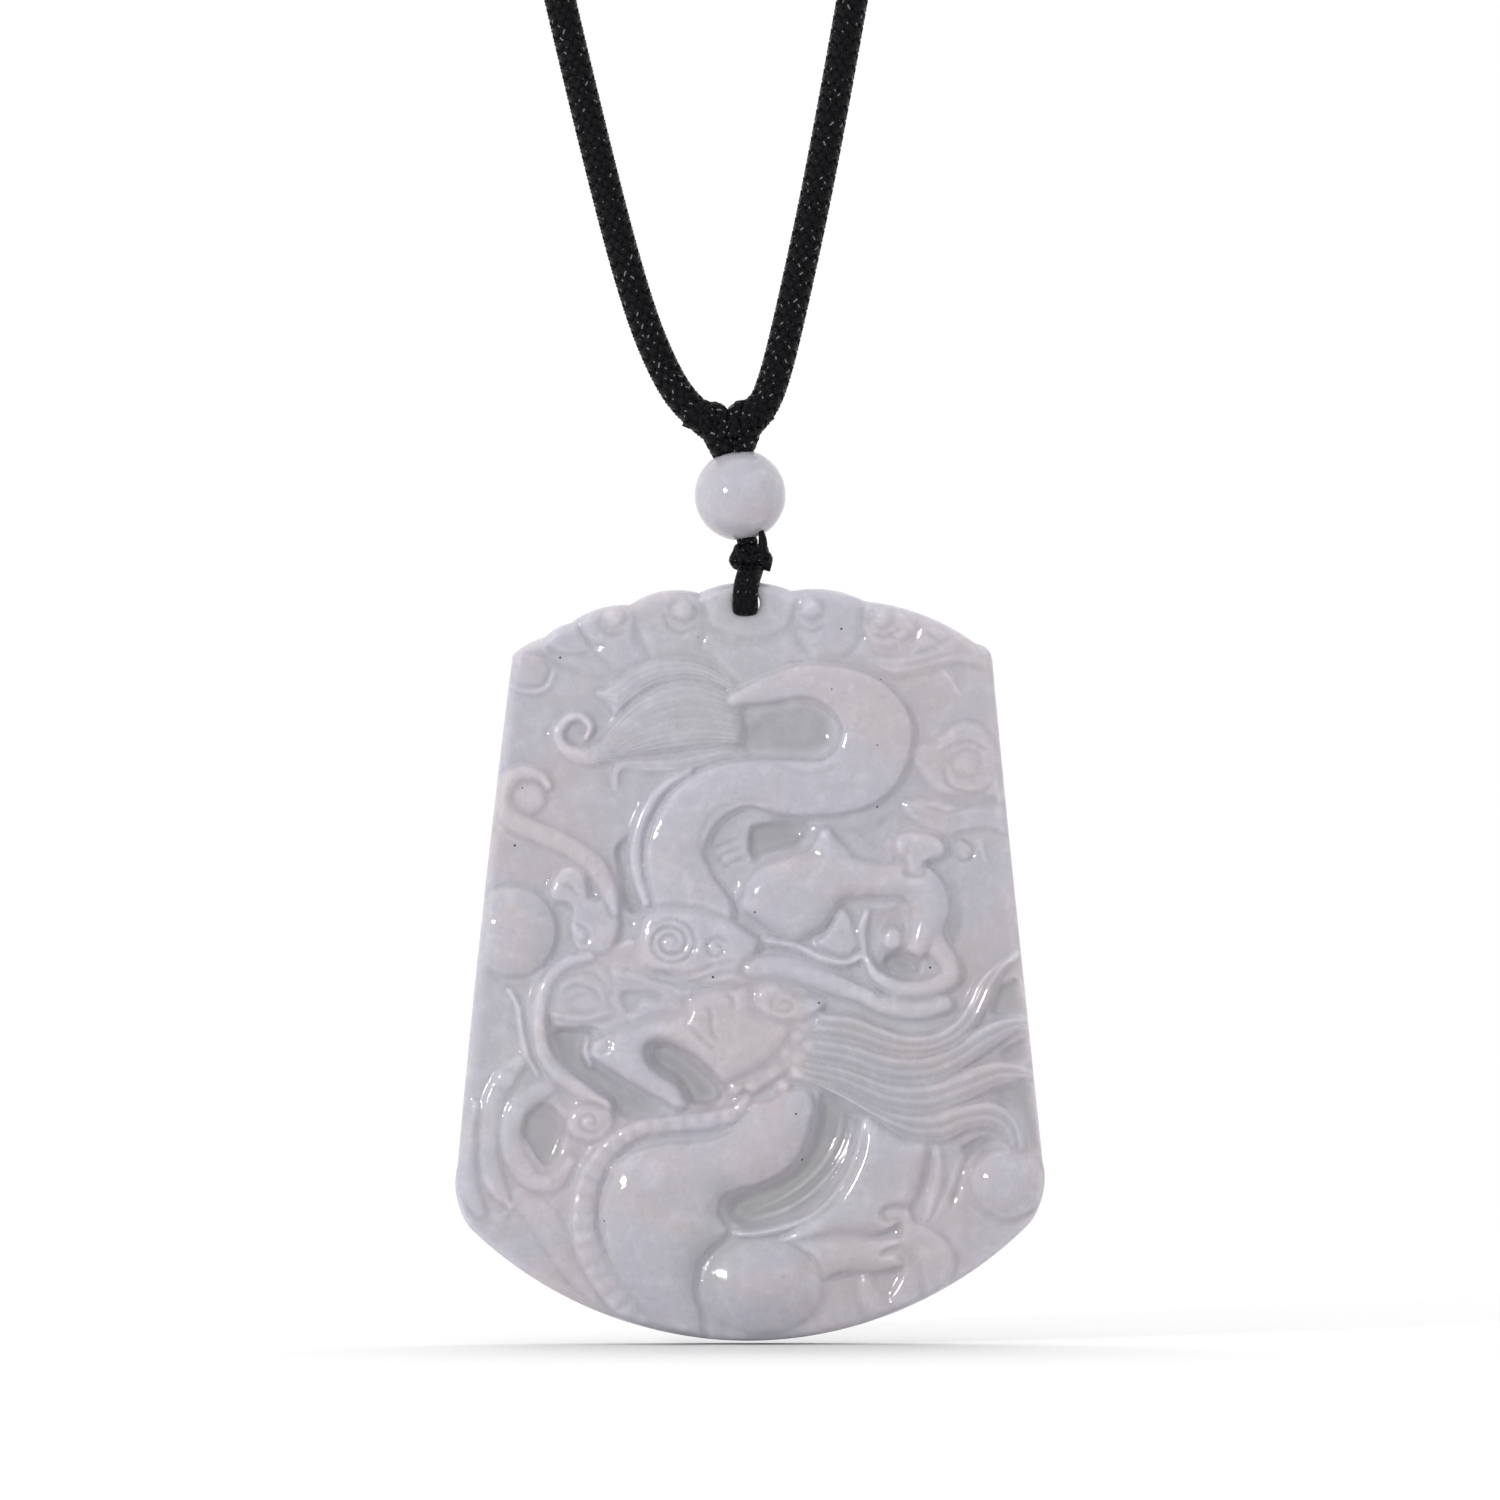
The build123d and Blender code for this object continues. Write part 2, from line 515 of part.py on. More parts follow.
def make_neck_cord(wrap):
    """The neck cord, one whole loop from lobe to lobe."""
    route = cord_route()
    radii = cord_radii(route)
    with BuildLine() as line:
        FilletPolyline(*route, radius=radii)
    path = line.wires()[0]
    cord = tube(path, CORD_DIAMETER)
    section = math.pi / 4 * CORD_DIAMETER**2
    print("neck cord radii", [round(radius, 1) for radius in radii])
    print("neck cord runs", [round((b - a).length, 1) for a, b in zip(route, route[1:])])
    print("neck cord length", round(path.length, 1), "volume / section x length",
          round(cord.volume / (section * path.length), 4))
    return cord - wrap


def build():
    """Every piece by its name."""
    knot = make_small_knot()
    wrap = make_cord_wrap()
    return {
        "plaque": make_plaque(),
        "hanging_loop": make_hanging_loop(knot),
        "small_knot": knot,
        "bead": make_bead(),
        "bead_thread": make_bead_thread(knot, wrap),
        "cord_wrap": wrap,
        "neck_cord": make_neck_cord(wrap),
    }


os.makedirs("parts", exist_ok=True)
for name, piece in build().items():
    export_step(piece, f"parts/{name}.step")
    print(name, "volume", round(piece.volume, 2), "mm3")
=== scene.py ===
"""Carved jade plaque on a braided black cord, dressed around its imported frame.

Metres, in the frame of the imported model: seen from the front, +X is to the right, -Y is the front and
+Z is up. The carving is drawn on a sheet of squares that covers the plaque. Its columns count to the
right and its rows count down, as a drawing is read, and SHEET_MIDDLE lies on the plaque's middle.
"""

import logging
import math
from dataclasses import dataclass
from enum import Enum
from typing import Sequence

import bmesh
import bpy
import numpy as np
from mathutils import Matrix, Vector


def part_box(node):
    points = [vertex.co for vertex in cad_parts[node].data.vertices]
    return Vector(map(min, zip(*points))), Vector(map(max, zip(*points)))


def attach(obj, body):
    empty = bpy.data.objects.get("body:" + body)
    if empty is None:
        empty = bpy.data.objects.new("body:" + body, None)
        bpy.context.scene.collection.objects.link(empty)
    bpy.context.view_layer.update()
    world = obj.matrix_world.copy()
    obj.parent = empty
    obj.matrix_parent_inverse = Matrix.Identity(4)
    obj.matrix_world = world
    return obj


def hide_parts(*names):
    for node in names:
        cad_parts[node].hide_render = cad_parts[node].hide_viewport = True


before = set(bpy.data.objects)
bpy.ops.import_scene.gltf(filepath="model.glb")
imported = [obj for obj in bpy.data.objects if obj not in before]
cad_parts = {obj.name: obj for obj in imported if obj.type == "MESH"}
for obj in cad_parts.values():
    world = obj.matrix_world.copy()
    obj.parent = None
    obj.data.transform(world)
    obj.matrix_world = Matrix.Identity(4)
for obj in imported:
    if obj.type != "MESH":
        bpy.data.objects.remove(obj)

LOG = logging.getLogger("pendant")
MM = 0.001
CORD_BODY = "cord_assembly"
STONE_BODY = "pendant"
SAME_PLACE = 1e-7
TINY = 1e-6

SHEET_MIDDLE = (750, 961)
SHEET_ACROSS = 588
SHEET_DOWN = 758

Place = tuple[float, float]
Spot = tuple[float, float, float]
Colour = tuple[float, float, float, float]
Array = np.ndarray
Mesh = bmesh.types.BMesh
Material = bpy.types.Material
Socket = bpy.types.NodeSocket


# Materials


class Channel:
    """A number that varies over a surface, with the arithmetic that its patterns use."""

    def __init__(self, shader: "Shader", socket: Socket) -> None:
        """Keeps the shader that new nodes go to and the output that carries the number."""
        self.shader = shader
        self.socket = socket

    def math(self, operation: str, *values: "Channel | float") -> "Channel":
        """The result of a Math node on some values."""
        return self.shader.channel("ShaderNodeMath", {"operation": operation}, dict(enumerate(values)))

    def __add__(self, other: "Channel | float") -> "Channel":
        """The sum of two numbers."""
        return self.math("ADD", self, other)

    __radd__ = __add__

    def __sub__(self, other: "Channel | float") -> "Channel":
        """One number less another."""
        return self.math("SUBTRACT", self, other)

    def __rsub__(self, other: float) -> "Channel":
        """A plain number less this one."""
        return self.math("SUBTRACT", other, self)

    def __mul__(self, other: "Channel | float") -> "Channel":
        """The product of two numbers."""
        return self.math("MULTIPLY", self, other)

    __rmul__ = __mul__

    def size(self) -> "Channel":
        """The number without its sign."""
        return self.math("ABSOLUTE", self)

    def sine(self) -> "Channel":
        """The sine of the number."""
        return self.math("SINE", self)

    def rise(self, low: float, high: float) -> "Channel":
        """A soft step, from 0 where the number is low to 1 where it is high."""
        inputs = {"Value": self, "From Min": low, "From Max": high}
        return self.shader.channel("ShaderNodeMapRange", {"interpolation_type": "SMOOTHSTEP"}, inputs)


class Shader:
    """A material and the nodes that make it."""

    def __init__(self, name: str) -> None:
        """Starts an empty material.

        Args:
            name: The material's name.
        """
        self.material = bpy.data.materials.new(name)
        self.material.use_nodes = True
        self.tree = self.material.node_tree
        self.tree.nodes.clear()

    def node(self, kind: str, settings: dict | None = None, inputs: dict | None = None) -> bpy.types.Node:
        """Adds a node, with its settings first and then its inputs.

        Args:
            kind: The node's type.
            settings: Values of the node's own properties.
            inputs: Values or links, by a socket's number, identifier or name.

        Returns:
            The node.
        """
        node = self.tree.nodes.new(kind)
        for name, value in (settings or {}).items():
            setattr(node, name, value)
        for key, value in (inputs or {}).items():
            named = [socket for socket in node.inputs if socket.identifier == key]
            socket = named[0] if named else node.inputs[key]
            if isinstance(value, Channel):
                value = value.socket
            if isinstance(value, Socket):
                self.tree.links.new(value, socket)
            else:
                socket.default_value = value
        return node

    def channel(self, kind: str, settings: dict | None = None, inputs: dict | None = None,
                output: int | str = 0) -> Channel:
        """One output of a new node, as a number."""
        return Channel(self, self.node(kind, settings, inputs).outputs[output])

    def own_place(self) -> Socket:
        """The place on the piece, in metres."""
        return self.node("ShaderNodeTexCoord").outputs["Object"]

    def attribute(self, name: str) -> Channel:
        """A number that the mesh stores at its corners."""
        return self.channel("ShaderNodeAttribute", {"attribute_name": name}, output="Fac")

    def noise(self, scale: float, detail: float = 3.0, roughness: float = 0.5,
              distortion: float = 0.0) -> Channel:
        """Cloudy variation over the piece.

        Args:
            scale: How many clouds there are to a metre.
            detail: How many finer layers it has.
            roughness: How strong the finer layers are.
            distortion: How much the clouds are twisted.

        Returns:
            The variation, about 0.5.
        """
        inputs = {"Vector": self.own_place(), "Scale": scale, "Detail": detail,
                  "Roughness": roughness, "Distortion": distortion}
        return self.channel("ShaderNodeTexNoise", None, inputs)

    def run(self, name: str, scale: float) -> Channel:
        """Uneven variation along a number that the mesh stores, about 0.5."""
        inputs = {"W": self.attribute(name), "Scale": scale, "Detail": 1.0}
        return self.channel("ShaderNodeTexNoise", {"noise_dimensions": "1D"}, inputs)

    def specks(self, scale: float) -> Channel:
        """How far the surface is from scattered points, as a share of the space between them."""
        inputs = {"Vector": self.own_place(), "Scale": scale}
        return self.channel("ShaderNodeTexVoronoi", None, inputs, "Distance")

    def blend(self, first: Colour | Socket, second: Colour, share: Channel) -> Socket:
        """A colour between two.

        Args:
            first: The colour at a share of 0.
            second: The colour at a share of 1.
            share: How much of the second there is.

        Returns:
            The colour.
        """
        inputs = {"Factor_Float": share, "A_Color": first, "B_Color": second}
        node = self.node("ShaderNodeMix", {"data_type": "RGBA"}, inputs)
        return next(out for out in node.outputs if out.identifier == "Result_Color")

    def bump(self, height: Channel, depth: float) -> Socket:
        """The surface's direction over a fine relief, with its height as a share of its depth."""
        return self.node("ShaderNodeBump", None, {"Distance": depth, "Height": height}).outputs[0]

    def principled(self, inputs: dict) -> Material:
        """Ends the material with one surface.

        Args:
            inputs: The surface's values and links.

        Returns:
            The material.
        """
        surface = self.node("ShaderNodeBsdfPrincipled", None, inputs)
        self.node("ShaderNodeOutputMaterial", None, {"Surface": surface.outputs[0]})
        return self.material


@dataclass(frozen=True)
class JadeFinish:
    """Polished, slightly translucent jade: soft clouds of colour, painted shade in hollows, painted light in
    creases.
    """

    name: str
    lavender: Colour = (0.415, 0.405, 0.455, 1.0)
    rose: Colour = (0.442, 0.406, 0.434, 1.0)
    green: Colour = (0.388, 0.396, 0.400, 1.0)
    grey_and_painted_shade: Colour = (0.298, 0.300, 0.309, 1.0)
    pit: Colour = (0.05, 0.045, 0.04, 1.0)
    pale: Colour = (0.66, 0.65, 0.70, 1.0)
    glow: float = 1.0
    glow_tint: Spot = (1.0, 0.95, 0.98)
    glow_depth: float = 1.8 * MM
    gloss: float = 0.04
    grain: float = 0.06 * MM
    pits: float = 320

    def material(self) -> Material:
        """Makes the stone's material.

        Returns:
            The material.
        """
        shader = Shader(self.name)
        mottle = shader.noise(900, 3, 0.65)
        hollow, painted_crease_light, strand, strand_depth = (
            shader.attribute(name) for name in ("hollow", "painted_crease_light", "strand", "strand_depth"))
        hair = (strand * (2 * math.pi)).sine() * strand_depth
        colour = self.lavender
        for tint, share in (
            (self.rose, shader.noise(110, 4, 0.6, 0.6).rise(0.42, 0.62)),
            (self.green, shader.noise(70, 3, 0.5).rise(0.5, 0.72) * 0.5),
            (self.pale, mottle.rise(0.45, 0.75) * 0.2),
            (self.pale, shader.noise(330, 4, 0.6, 0.8).rise(0.48, 0.75) * 0.2),
            (self.grey_and_painted_shade, shader.noise(2200, 3, 0.6).rise(0.5, 0.8) * 0.3),
            # painted shade: greyer the deeper a corner lies in a hollow of the carving
            (self.grey_and_painted_shade, hollow * 0.72),
            # painted light: paler where a corner lies in a crease, lifting the shade that falls there
            (self.pale, painted_crease_light * 0.8),
            (self.pit, 1 - shader.specks(self.pits).rise(0.028, 0.036)),
            (self.grey_and_painted_shade, hair.rise(-1, 1) * strand_depth * 0.45),
        ):
            colour = shader.blend(colour, tint, share)
        polish = shader.noise(1000, 3, 0.6) * 0.7
        wear = shader.noise(5000, 2) * 0.03
        chips = shader.noise(3000, 2) * painted_crease_light * 2.6
        return shader.principled({
            "Base Color": colour,
            "Roughness": mottle.rise(0.3, 0.8) * 0.06 + self.gloss,
            "IOR": 1.6,
            "Subsurface Weight": self.glow,
            "Subsurface Radius": self.glow_tint,
            "Subsurface Scale": self.glow_depth,
            "Normal": shader.bump(hair + polish + wear + chips, self.grain),
        })


@dataclass(frozen=True)
class CordFinish:
    """Black braided fibre with a slight sheen, and painted highlights along its strands."""

    name: str
    black: Colour = (0.0015, 0.0015, 0.0025, 1.0)
    worn: Colour = (0.004, 0.004, 0.0055, 1.0)
    painted_glint: Colour = (0.16, 0.16, 0.18, 1.0)
    gloss: float = 0.2
    grain: float = 0.06 * MM

    def material(self) -> Material:
        """Makes the cord's material.

        Returns:
            The material.
        """
        shader = Shader(self.name)
        fibre = shader.noise(9000, 3, 0.7)
        colour = shader.blend(self.black, self.worn, fibre.rise(0.4, 0.75))
        # painted highlights: light flecks along the middle of each strand
        painted_glints = shader.run("along", 1.4).rise(0.58, 0.64)
        crest = 1 - shader.attribute("across").size().rise(0.04, 0.16)
        return shader.principled({
            "Base Color": shader.blend(colour, self.painted_glint, painted_glints * crest),
            "Roughness": fibre.rise(0.3, 0.7) * 0.2 + self.gloss,
            "Specular IOR Level": 0.1,
            "Normal": shader.bump(fibre, self.grain),
        })


@dataclass(frozen=True)
class PlainFinish:
    """A plain matt surface for the floor."""

    name: str
    pale: Colour = (0.73, 0.73, 0.73, 1.0)

    def material(self) -> Material:
        """The floor's material."""
        inputs = {"Base Color": self.pale, "Roughness": 0.9, "Specular IOR Level": 0.0}
        return Shader(self.name).principled(inputs)


# Lines and meshes


# The painted highlights start elsewhere on each strand: this far apart, at one of so many places.
PAINTED_GLINT_STEP = 100
PAINTED_GLINT_STARTS = 97


def smooth_line(rows: Array, closed: bool = False, pieces: int = 6) -> Array:
    """A soft curve through rows of values.

    Args:
        rows: The points, each with its further values beside it.
        closed: Whether the curve returns to its start.
        pieces: How many steps there are between two points.

    Returns:
        The curve's rows, with the last one.
    """
    rows = np.vstack([rows[-1:], rows, rows[:2]] if closed else [rows[:1], rows, rows[-1:]])
    t = np.linspace(0, 1, pieces, endpoint=False)[None, :, None]
    b, c, d, e = (part[:, None, :] for part in (rows[:-3], rows[1:-2], rows[2:-1], rows[3:]))
    curve = 0.5 * (2 * c + (d - b) * t + (2 * b - 5 * c + 4 * d - e) * t**2 + (3 * c - b - 3 * d + e) * t**3)
    return np.vstack([curve.reshape(-1, rows.shape[1]), rows[-2:-1]])


def lengths_along(line: Array) -> Array:
    """How far along a line each of its points lies."""
    return np.concatenate([[0], np.cumsum(np.linalg.norm(np.diff(line, axis=0), axis=1))])


def points_at(line: Array, distances: Array) -> Array:
    """The points that lie at given distances along a line."""
    lengths = lengths_along(line)
    return np.column_stack([np.interp(distances, lengths, column) for column in line.T])


def even_line(line: Array, step: float) -> Array:
    """The same line with its points about a step apart, and both of its ends."""
    length = lengths_along(line)[-1]
    return points_at(line, np.linspace(0, length, max(2, round(length / step) + 1)))


def unit(vectors: Array) -> Array:
    """The vectors at a length of 1."""
    return vectors / np.maximum(np.linalg.norm(vectors, axis=-1, keepdims=True), TINY**2)


def frames_along(line: Array) -> tuple[Array, Array]:
    """Two directions square to a line at each point, which don't twist round it.

    Args:
        line: The points of a line.

    Returns:
        The two directions.
    """
    tangents = unit(np.gradient(line, axis=0))
    first = np.cross(tangents[0], (0.0, 1.0, 0.0) if abs(tangents[0][1]) < 0.9 else (1.0, 0.0, 0.0))
    sides = [first / np.linalg.norm(first)]
    for tangent in tangents[1:]:
        side = sides[-1] - tangent * np.dot(sides[-1], tangent)
        sides.append(side / np.linalg.norm(side))
    return np.array(sides), np.cross(tangents, sides)


def add_tube(mesh: Mesh, line: Array, outward: Array, half_width: Array | float,
             half_thickness: Array | float, sides: int) -> None:
    """Adds a closed tube of oval section along a line.

    Args:
        mesh: The mesh that it is added to.
        line: The points of its middle line.
        outward: The direction of its thickness at each point.
        half_width: Half its width.
        half_thickness: Half its thickness.
        sides: How many sides its section has.
    """
    count = len(line)
    across = unit(np.cross(unit(np.gradient(line, axis=0)), outward))
    angles = np.linspace(0, 2 * math.pi, sides + 1) + math.pi / sides
    width, thickness = (np.broadcast_to(size, count)[:, None, None] for size in (half_width, half_thickness))
    spots = (line[:, None, :] + across[:, None, :] * width * np.cos(angles)[None, :, None]
             + outward[:, None, :] * thickness * np.sin(angles)[None, :, None]).reshape(-1, 3)
    # where the painted highlights fall: the length along the strand, from a start that differs between
    # strands
    along = PAINTED_GLINT_STEP * (len(mesh.verts) % PAINTED_GLINT_STARTS) + lengths_along(line) / MM
    floats = mesh.verts.layers.float
    layers = [floats.get(name) or floats.new(name) for name in ("along", "across")]
    made = bmesh.ops.create_grid(mesh, x_segments=sides, y_segments=count - 1, size=1)["verts"]
    for k, (vertex, spot) in enumerate(zip(made, spots)):
        vertex.co = spot
        vertex[layers[0]] = along[k // (sides + 1)]
        vertex[layers[1]] = math.cos(angles[k % (sides + 1)])
    seam = [made[row * (sides + 1) + column] for row in range(count) for column in (0, sides)]
    bmesh.ops.remove_doubles(mesh, verts=seam, dist=SAME_PLACE)


def add_rod(mesh: Mesh, line: Array, radius: Array | float, sides: int) -> None:
    """Adds a closed round rod along a line."""
    add_tube(mesh, line, frames_along(line)[0], radius, radius, sides)


def open_edges(mesh: Mesh) -> list[bmesh.types.BMEdge]:
    """The edges at a mesh's open ends."""
    return [edge for edge in mesh.edges if edge.is_boundary]


def link(name: str, data: bpy.types.ID) -> bpy.types.Object:
    """Puts a new object with some data in the scene.

    Args:
        name: The object's name.
        data: Its mesh, curve, lamp or camera.

    Returns:
        The object.
    """
    made = bpy.data.objects.new(name, data)
    bpy.context.scene.collection.objects.link(made)
    return made


def to_data(mesh: Mesh, name: str, material: Material) -> bpy.types.Mesh:
    """Turns a finished mesh into an object's data.

    Args:
        mesh: The mesh, which is freed.
        name: The data's name.
        material: Its material.

    Returns:
        The data.
    """
    data = bpy.data.meshes.new(name)
    mesh.to_mesh(data)
    mesh.free()
    data.materials.append(material)
    return data


def add_piece(mesh: Mesh, name: str, material: Material, body: str, nodes: Sequence[str],
              crease: float | None = None) -> None:
    """Makes a piece of the finished mesh.

    Args:
        mesh: The mesh, which is freed.
        name: The piece's name.
        material: Its material.
        body: The body that it rides on.
        nodes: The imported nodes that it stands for.
        crease: The angle in degrees past which an edge stays sharp, if any does.
    """
    data = to_data(mesh, name, material)
    data.shade_smooth()
    if crease:
        data.set_sharp_from_angle(angle=math.radians(crease))
    piece = link(name, data)
    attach(piece, body)
    if nodes:
        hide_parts(*nodes)
    LOG.info("%s: %d triangles", name, sum(len(face.vertices) - 2 for face in data.polygons))


def add_cord_piece(mesh: Mesh, name: str, material: Material, nodes: Sequence[str]) -> None:
    """Makes a piece of cord, with its ends closed and every face pointing outwards.

    Args:
        mesh: The mesh, which is freed.
        name: The piece's name.
        material: Its material.
        nodes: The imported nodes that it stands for.
    """
    bmesh.ops.holes_fill(mesh, edges=open_edges(mesh), sides=0)
    bmesh.ops.recalc_face_normals(mesh, faces=mesh.faces[:])
    add_piece(mesh, name, material, CORD_BODY, nodes)


@dataclass
class Part:
    """A part of the pendant that is made of one material."""

    material: Material


# The carving's forms


GROOVE_WIDTH = 3.5
GROOVE_SHARE = 0.3
EDGE_WALL = 5.0
PILLOW = 0.57
CLOSEST = 0.3
LINE_FADE = 0.35
GROOVE_REACH = 3 * GROOVE_WIDTH
OUTLINE_REACH = 4 * GROOVE_WIDTH
CURL_STEPS = 14
CURL_LEAST = 8
STRAND_WALL = 5.0
HAIR_WALL = 6.0


def places(text: str) -> Array:
    """Places on the sheet, written as column,row with a half width after them where one is needed."""
    return np.array([[float(number) for number in place.split(",")] for place in text.split()])


def bare_line(text: str, closed: bool = False) -> Array:
    """The points of a soft line through some places, with a half width of 0 beside each."""
    line = smooth_line(places(text), closed)
    return np.column_stack([line, np.zeros(len(line))])


def soft_step(value: Array) -> Array:
    """A soft step from 0 to 1 over values from 0 to 1."""
    value = np.clip(value, 0, 1)
    return value * value * (3 - 2 * value)


def swell(base: float, top: float, near: Array, fullness: float) -> Array:
    """Heights of a rounded form.

    Args:
        base: Its height at the border.
        top: Its height at the crest.
        near: 0 at the form's border and 1 at its crest.
        fullness: Under 1 the form is full, and over 1 it is pointed.

    Returns:
        The heights.
    """
    return base + (top - base) * np.sin(math.pi / 2 * np.clip(near, 0, 1)) ** fullness


def polished(height: Array, shape: tuple[int, int], rounds: int) -> Array:
    """Heights that are rubbed smooth.

    Args:
        height: The heights at the corners.
        shape: The mesh's rows and columns.
        rounds: How many times it is rubbed, each time along the rows and the columns.

    Returns:
        The new heights.
    """
    height = height.reshape(shape)
    for _ in range(2 * rounds):
        padded = np.pad(height, ((1, 1), (0, 0)), "edge")
        height = ((padded[:-2] + 2 * height + padded[2:]) / 4).T
    return height.ravel()


@dataclass
class Nearest:
    """What lies nearest to each corner: how far, how wide the line is there and how far along it.

    Its depth is a soft distance that has no crease midway between two sides.
    """

    distance: Array
    width: Array
    along: Array
    depth: Array


class Carving:
    """Heights over the sheet at the corners of the front's mesh, as shares of the relief's depth."""

    def __init__(self, x: Array, y: Array, level: float) -> None:
        """Starts with a flat bed.

        Args:
            x: The corners' columns on the sheet.
            y: The corners' rows on the sheet.
            level: The bed's height.
        """
        self.x, self.y = x, y
        self.height = np.full(x.shape, level)
        self.strand, self.strand_depth = np.zeros(x.shape), np.zeros(x.shape)

    def near(self, line: Array, reach: float) -> Array:
        """The numbers of the corners within reach of a line's box."""
        (x0, y0), (x1, y1) = line[:, :2].min(axis=0) - reach, line[:, :2].max(axis=0) + reach
        return np.nonzero((self.x > x0) & (self.x < x1) & (self.y > y0) & (self.y < y1))[0]

    def nearest(self, chosen: Array, line: Array) -> Nearest:
        """What part of a line lies nearest to each corner.

        Args:
            chosen: The corners' numbers.
            line: The line's points, with a half width beside each.

        Returns:
            The nearest part.
        """
        px, py = self.x[chosen], self.y[chosen]
        best = np.full(px.shape, -np.inf)
        width, along, pull = np.ones(px.shape), np.zeros(px.shape), np.zeros(px.shape)
        passed = 0.0
        for (x0, y0, w0), (x1, y1, w1) in zip(line, line[1:]):
            run = max(math.hypot(x1 - x0, y1 - y0), TINY)
            t = np.clip(((px - x0) * (x1 - x0) + (py - y0) * (y1 - y0)) / run**2, 0, 1)
            reach = w0 + (w1 - w0) * t
            away = np.hypot(px - x0 - t * (x1 - x0), py - y0 - t * (y1 - y0))
            better = reach - away > best
            best = np.where(better, reach - away, best)
            width = np.where(better, reach, width)
            along = np.where(better, passed + run * t, along)
            pull += run / np.maximum(away, CLOSEST) ** 3
            passed += run
        return Nearest(width - best, width, along, np.sqrt(2 / pull))

    def within(self, outline: Array) -> tuple[Array, Array, Array]:
        """The corners round a closed outline, and how far inside it they are.

        Args:
            outline: The outline's points.

        Returns:
            The corners' numbers, their distances inside the border, and their soft distances.
        """
        chosen = self.near(outline, OUTLINE_REACH)
        found = self.nearest(chosen, outline)
        px, py = self.x[chosen], self.y[chosen]
        inside = np.zeros(px.shape, bool)
        for (x0, y0, _), (x1, y1, _) in zip(outline, np.roll(outline, -1, axis=0)):
            if y0 != y1:
                crossed = (y0 > py) != (y1 > py)
                inside ^= crossed & (px < x0 + (py - y0) * (x1 - x0) / (y1 - y0))
        return chosen, np.where(inside, found.distance, -found.distance), np.where(inside, found.depth, 0)

    def lay(self, chosen: Array, inward: Array, form: Array, groove: float) -> None:
        """Lays a form over what is there, with a groove round its border.

        Args:
            chosen: The corners' numbers.
            inward: How far inside the form's border each is, under 0 outside it.
            form: The form's height at each.
            groove: The groove's depth.
        """
        height = self.height[chosen]
        height = height - GROOVE_SHARE * groove * np.exp(-((np.minimum(inward, 0) / GROOVE_WIDTH) ** 2))
        share = soft_step((inward + 1) / EDGE_WALL)
        self.height[chosen] = height + (form - height) * share
        self.strand_depth[chosen] *= 1 - share

    def cut(self, path: Array, width: float, depth: float) -> None:
        """Cuts a line that fades at both ends, or raises one where its depth is under 0.

        Args:
            path: The line's places.
            width: Half its width.
            depth: Its depth.
        """
        points = smooth_line(path)
        run = np.linspace(0, 1, len(points))
        fade = np.minimum(1, 4 * np.minimum(run, run[::-1]) + LINE_FADE)
        line = np.column_stack([points, width * fade])
        chosen = self.near(line, width)
        found = self.nearest(chosen, line)
        near = np.clip(1 - found.distance / found.width, 0, 1)
        self.height[chosen] -= depth * soft_step(near) * found.width / width


@dataclass(frozen=True)
class Form:
    """A form of the carving. Heights and depths are shares of the relief's depth."""

    name: str

    def carve(self, carving: Carving) -> None:
        """Works the form into the carving.

        Args:
            carving: The carving with all earlier forms.
        """
        raise NotImplementedError(self.name)


@dataclass(frozen=True)
class Ridge(Form):
    """A raised form that follows a path, crossed by cut rungs where rung is over 0."""

    path: str
    base: float
    top: float
    groove: float = 0.04
    fullness: float = 0.75
    over: bool = True
    rung: float = 0.0
    rung_depth: float = 0.06
    round_rungs: float = 0.5

    def carve(self, carving: Carving) -> None:
        """Lays the ridge on the carving.

        Args:
            carving: The carving with all earlier forms.
        """
        line = smooth_line(places(self.path))
        chosen = carving.near(line, line[:, 2].max() + GROOVE_REACH)
        found = carving.nearest(chosen, line)
        form = swell(self.base, self.top, 1 - found.distance / found.width, self.fullness)
        if self.rung:
            cleft = 1 - np.abs(np.sin(math.pi * found.along / self.rung)) ** self.round_rungs
            form -= self.rung_depth * cleft
        if not self.over:
            form = np.maximum(form, carving.height[chosen])
        carving.lay(chosen, found.width - found.distance, form, self.groove)


@dataclass(frozen=True)
class Mass(Form):
    """A swelling form inside an outline."""

    outline: str
    base: float
    top: float
    reach: float
    groove: float = 0.04
    fullness: float = 0.85

    def carve(self, carving: Carving) -> None:
        """Lays the form on the carving.

        Args:
            carving: The carving with all earlier forms.
        """
        chosen, inward, depth = carving.within(bare_line(self.outline, closed=True))
        form = swell(self.base, self.top, depth / (PILLOW * self.reach), self.fullness)
        carving.lay(chosen, inward, form, self.groove)


@dataclass(frozen=True)
class Dome(Form):
    """A round or oval swelling."""

    at: Place
    across: float
    down: float
    base: float
    top: float
    groove: float = 0.04
    fullness: float = 0.75

    def carve(self, carving: Carving) -> None:
        """Lays the dome on the carving.

        Args:
            carving: The carving with all earlier forms.
        """
        reach = max(self.across, self.down) + GROOVE_REACH
        chosen = carving.near(np.array([self.at]), reach)
        x, y = carving.x[chosen] - self.at[0], carving.y[chosen] - self.at[1]
        offset = np.hypot(x / self.across, y / self.down)
        form = swell(self.base, self.top, 1 - offset, self.fullness)
        carving.lay(chosen, (1 - offset) * min(self.across, self.down), form, self.groove)


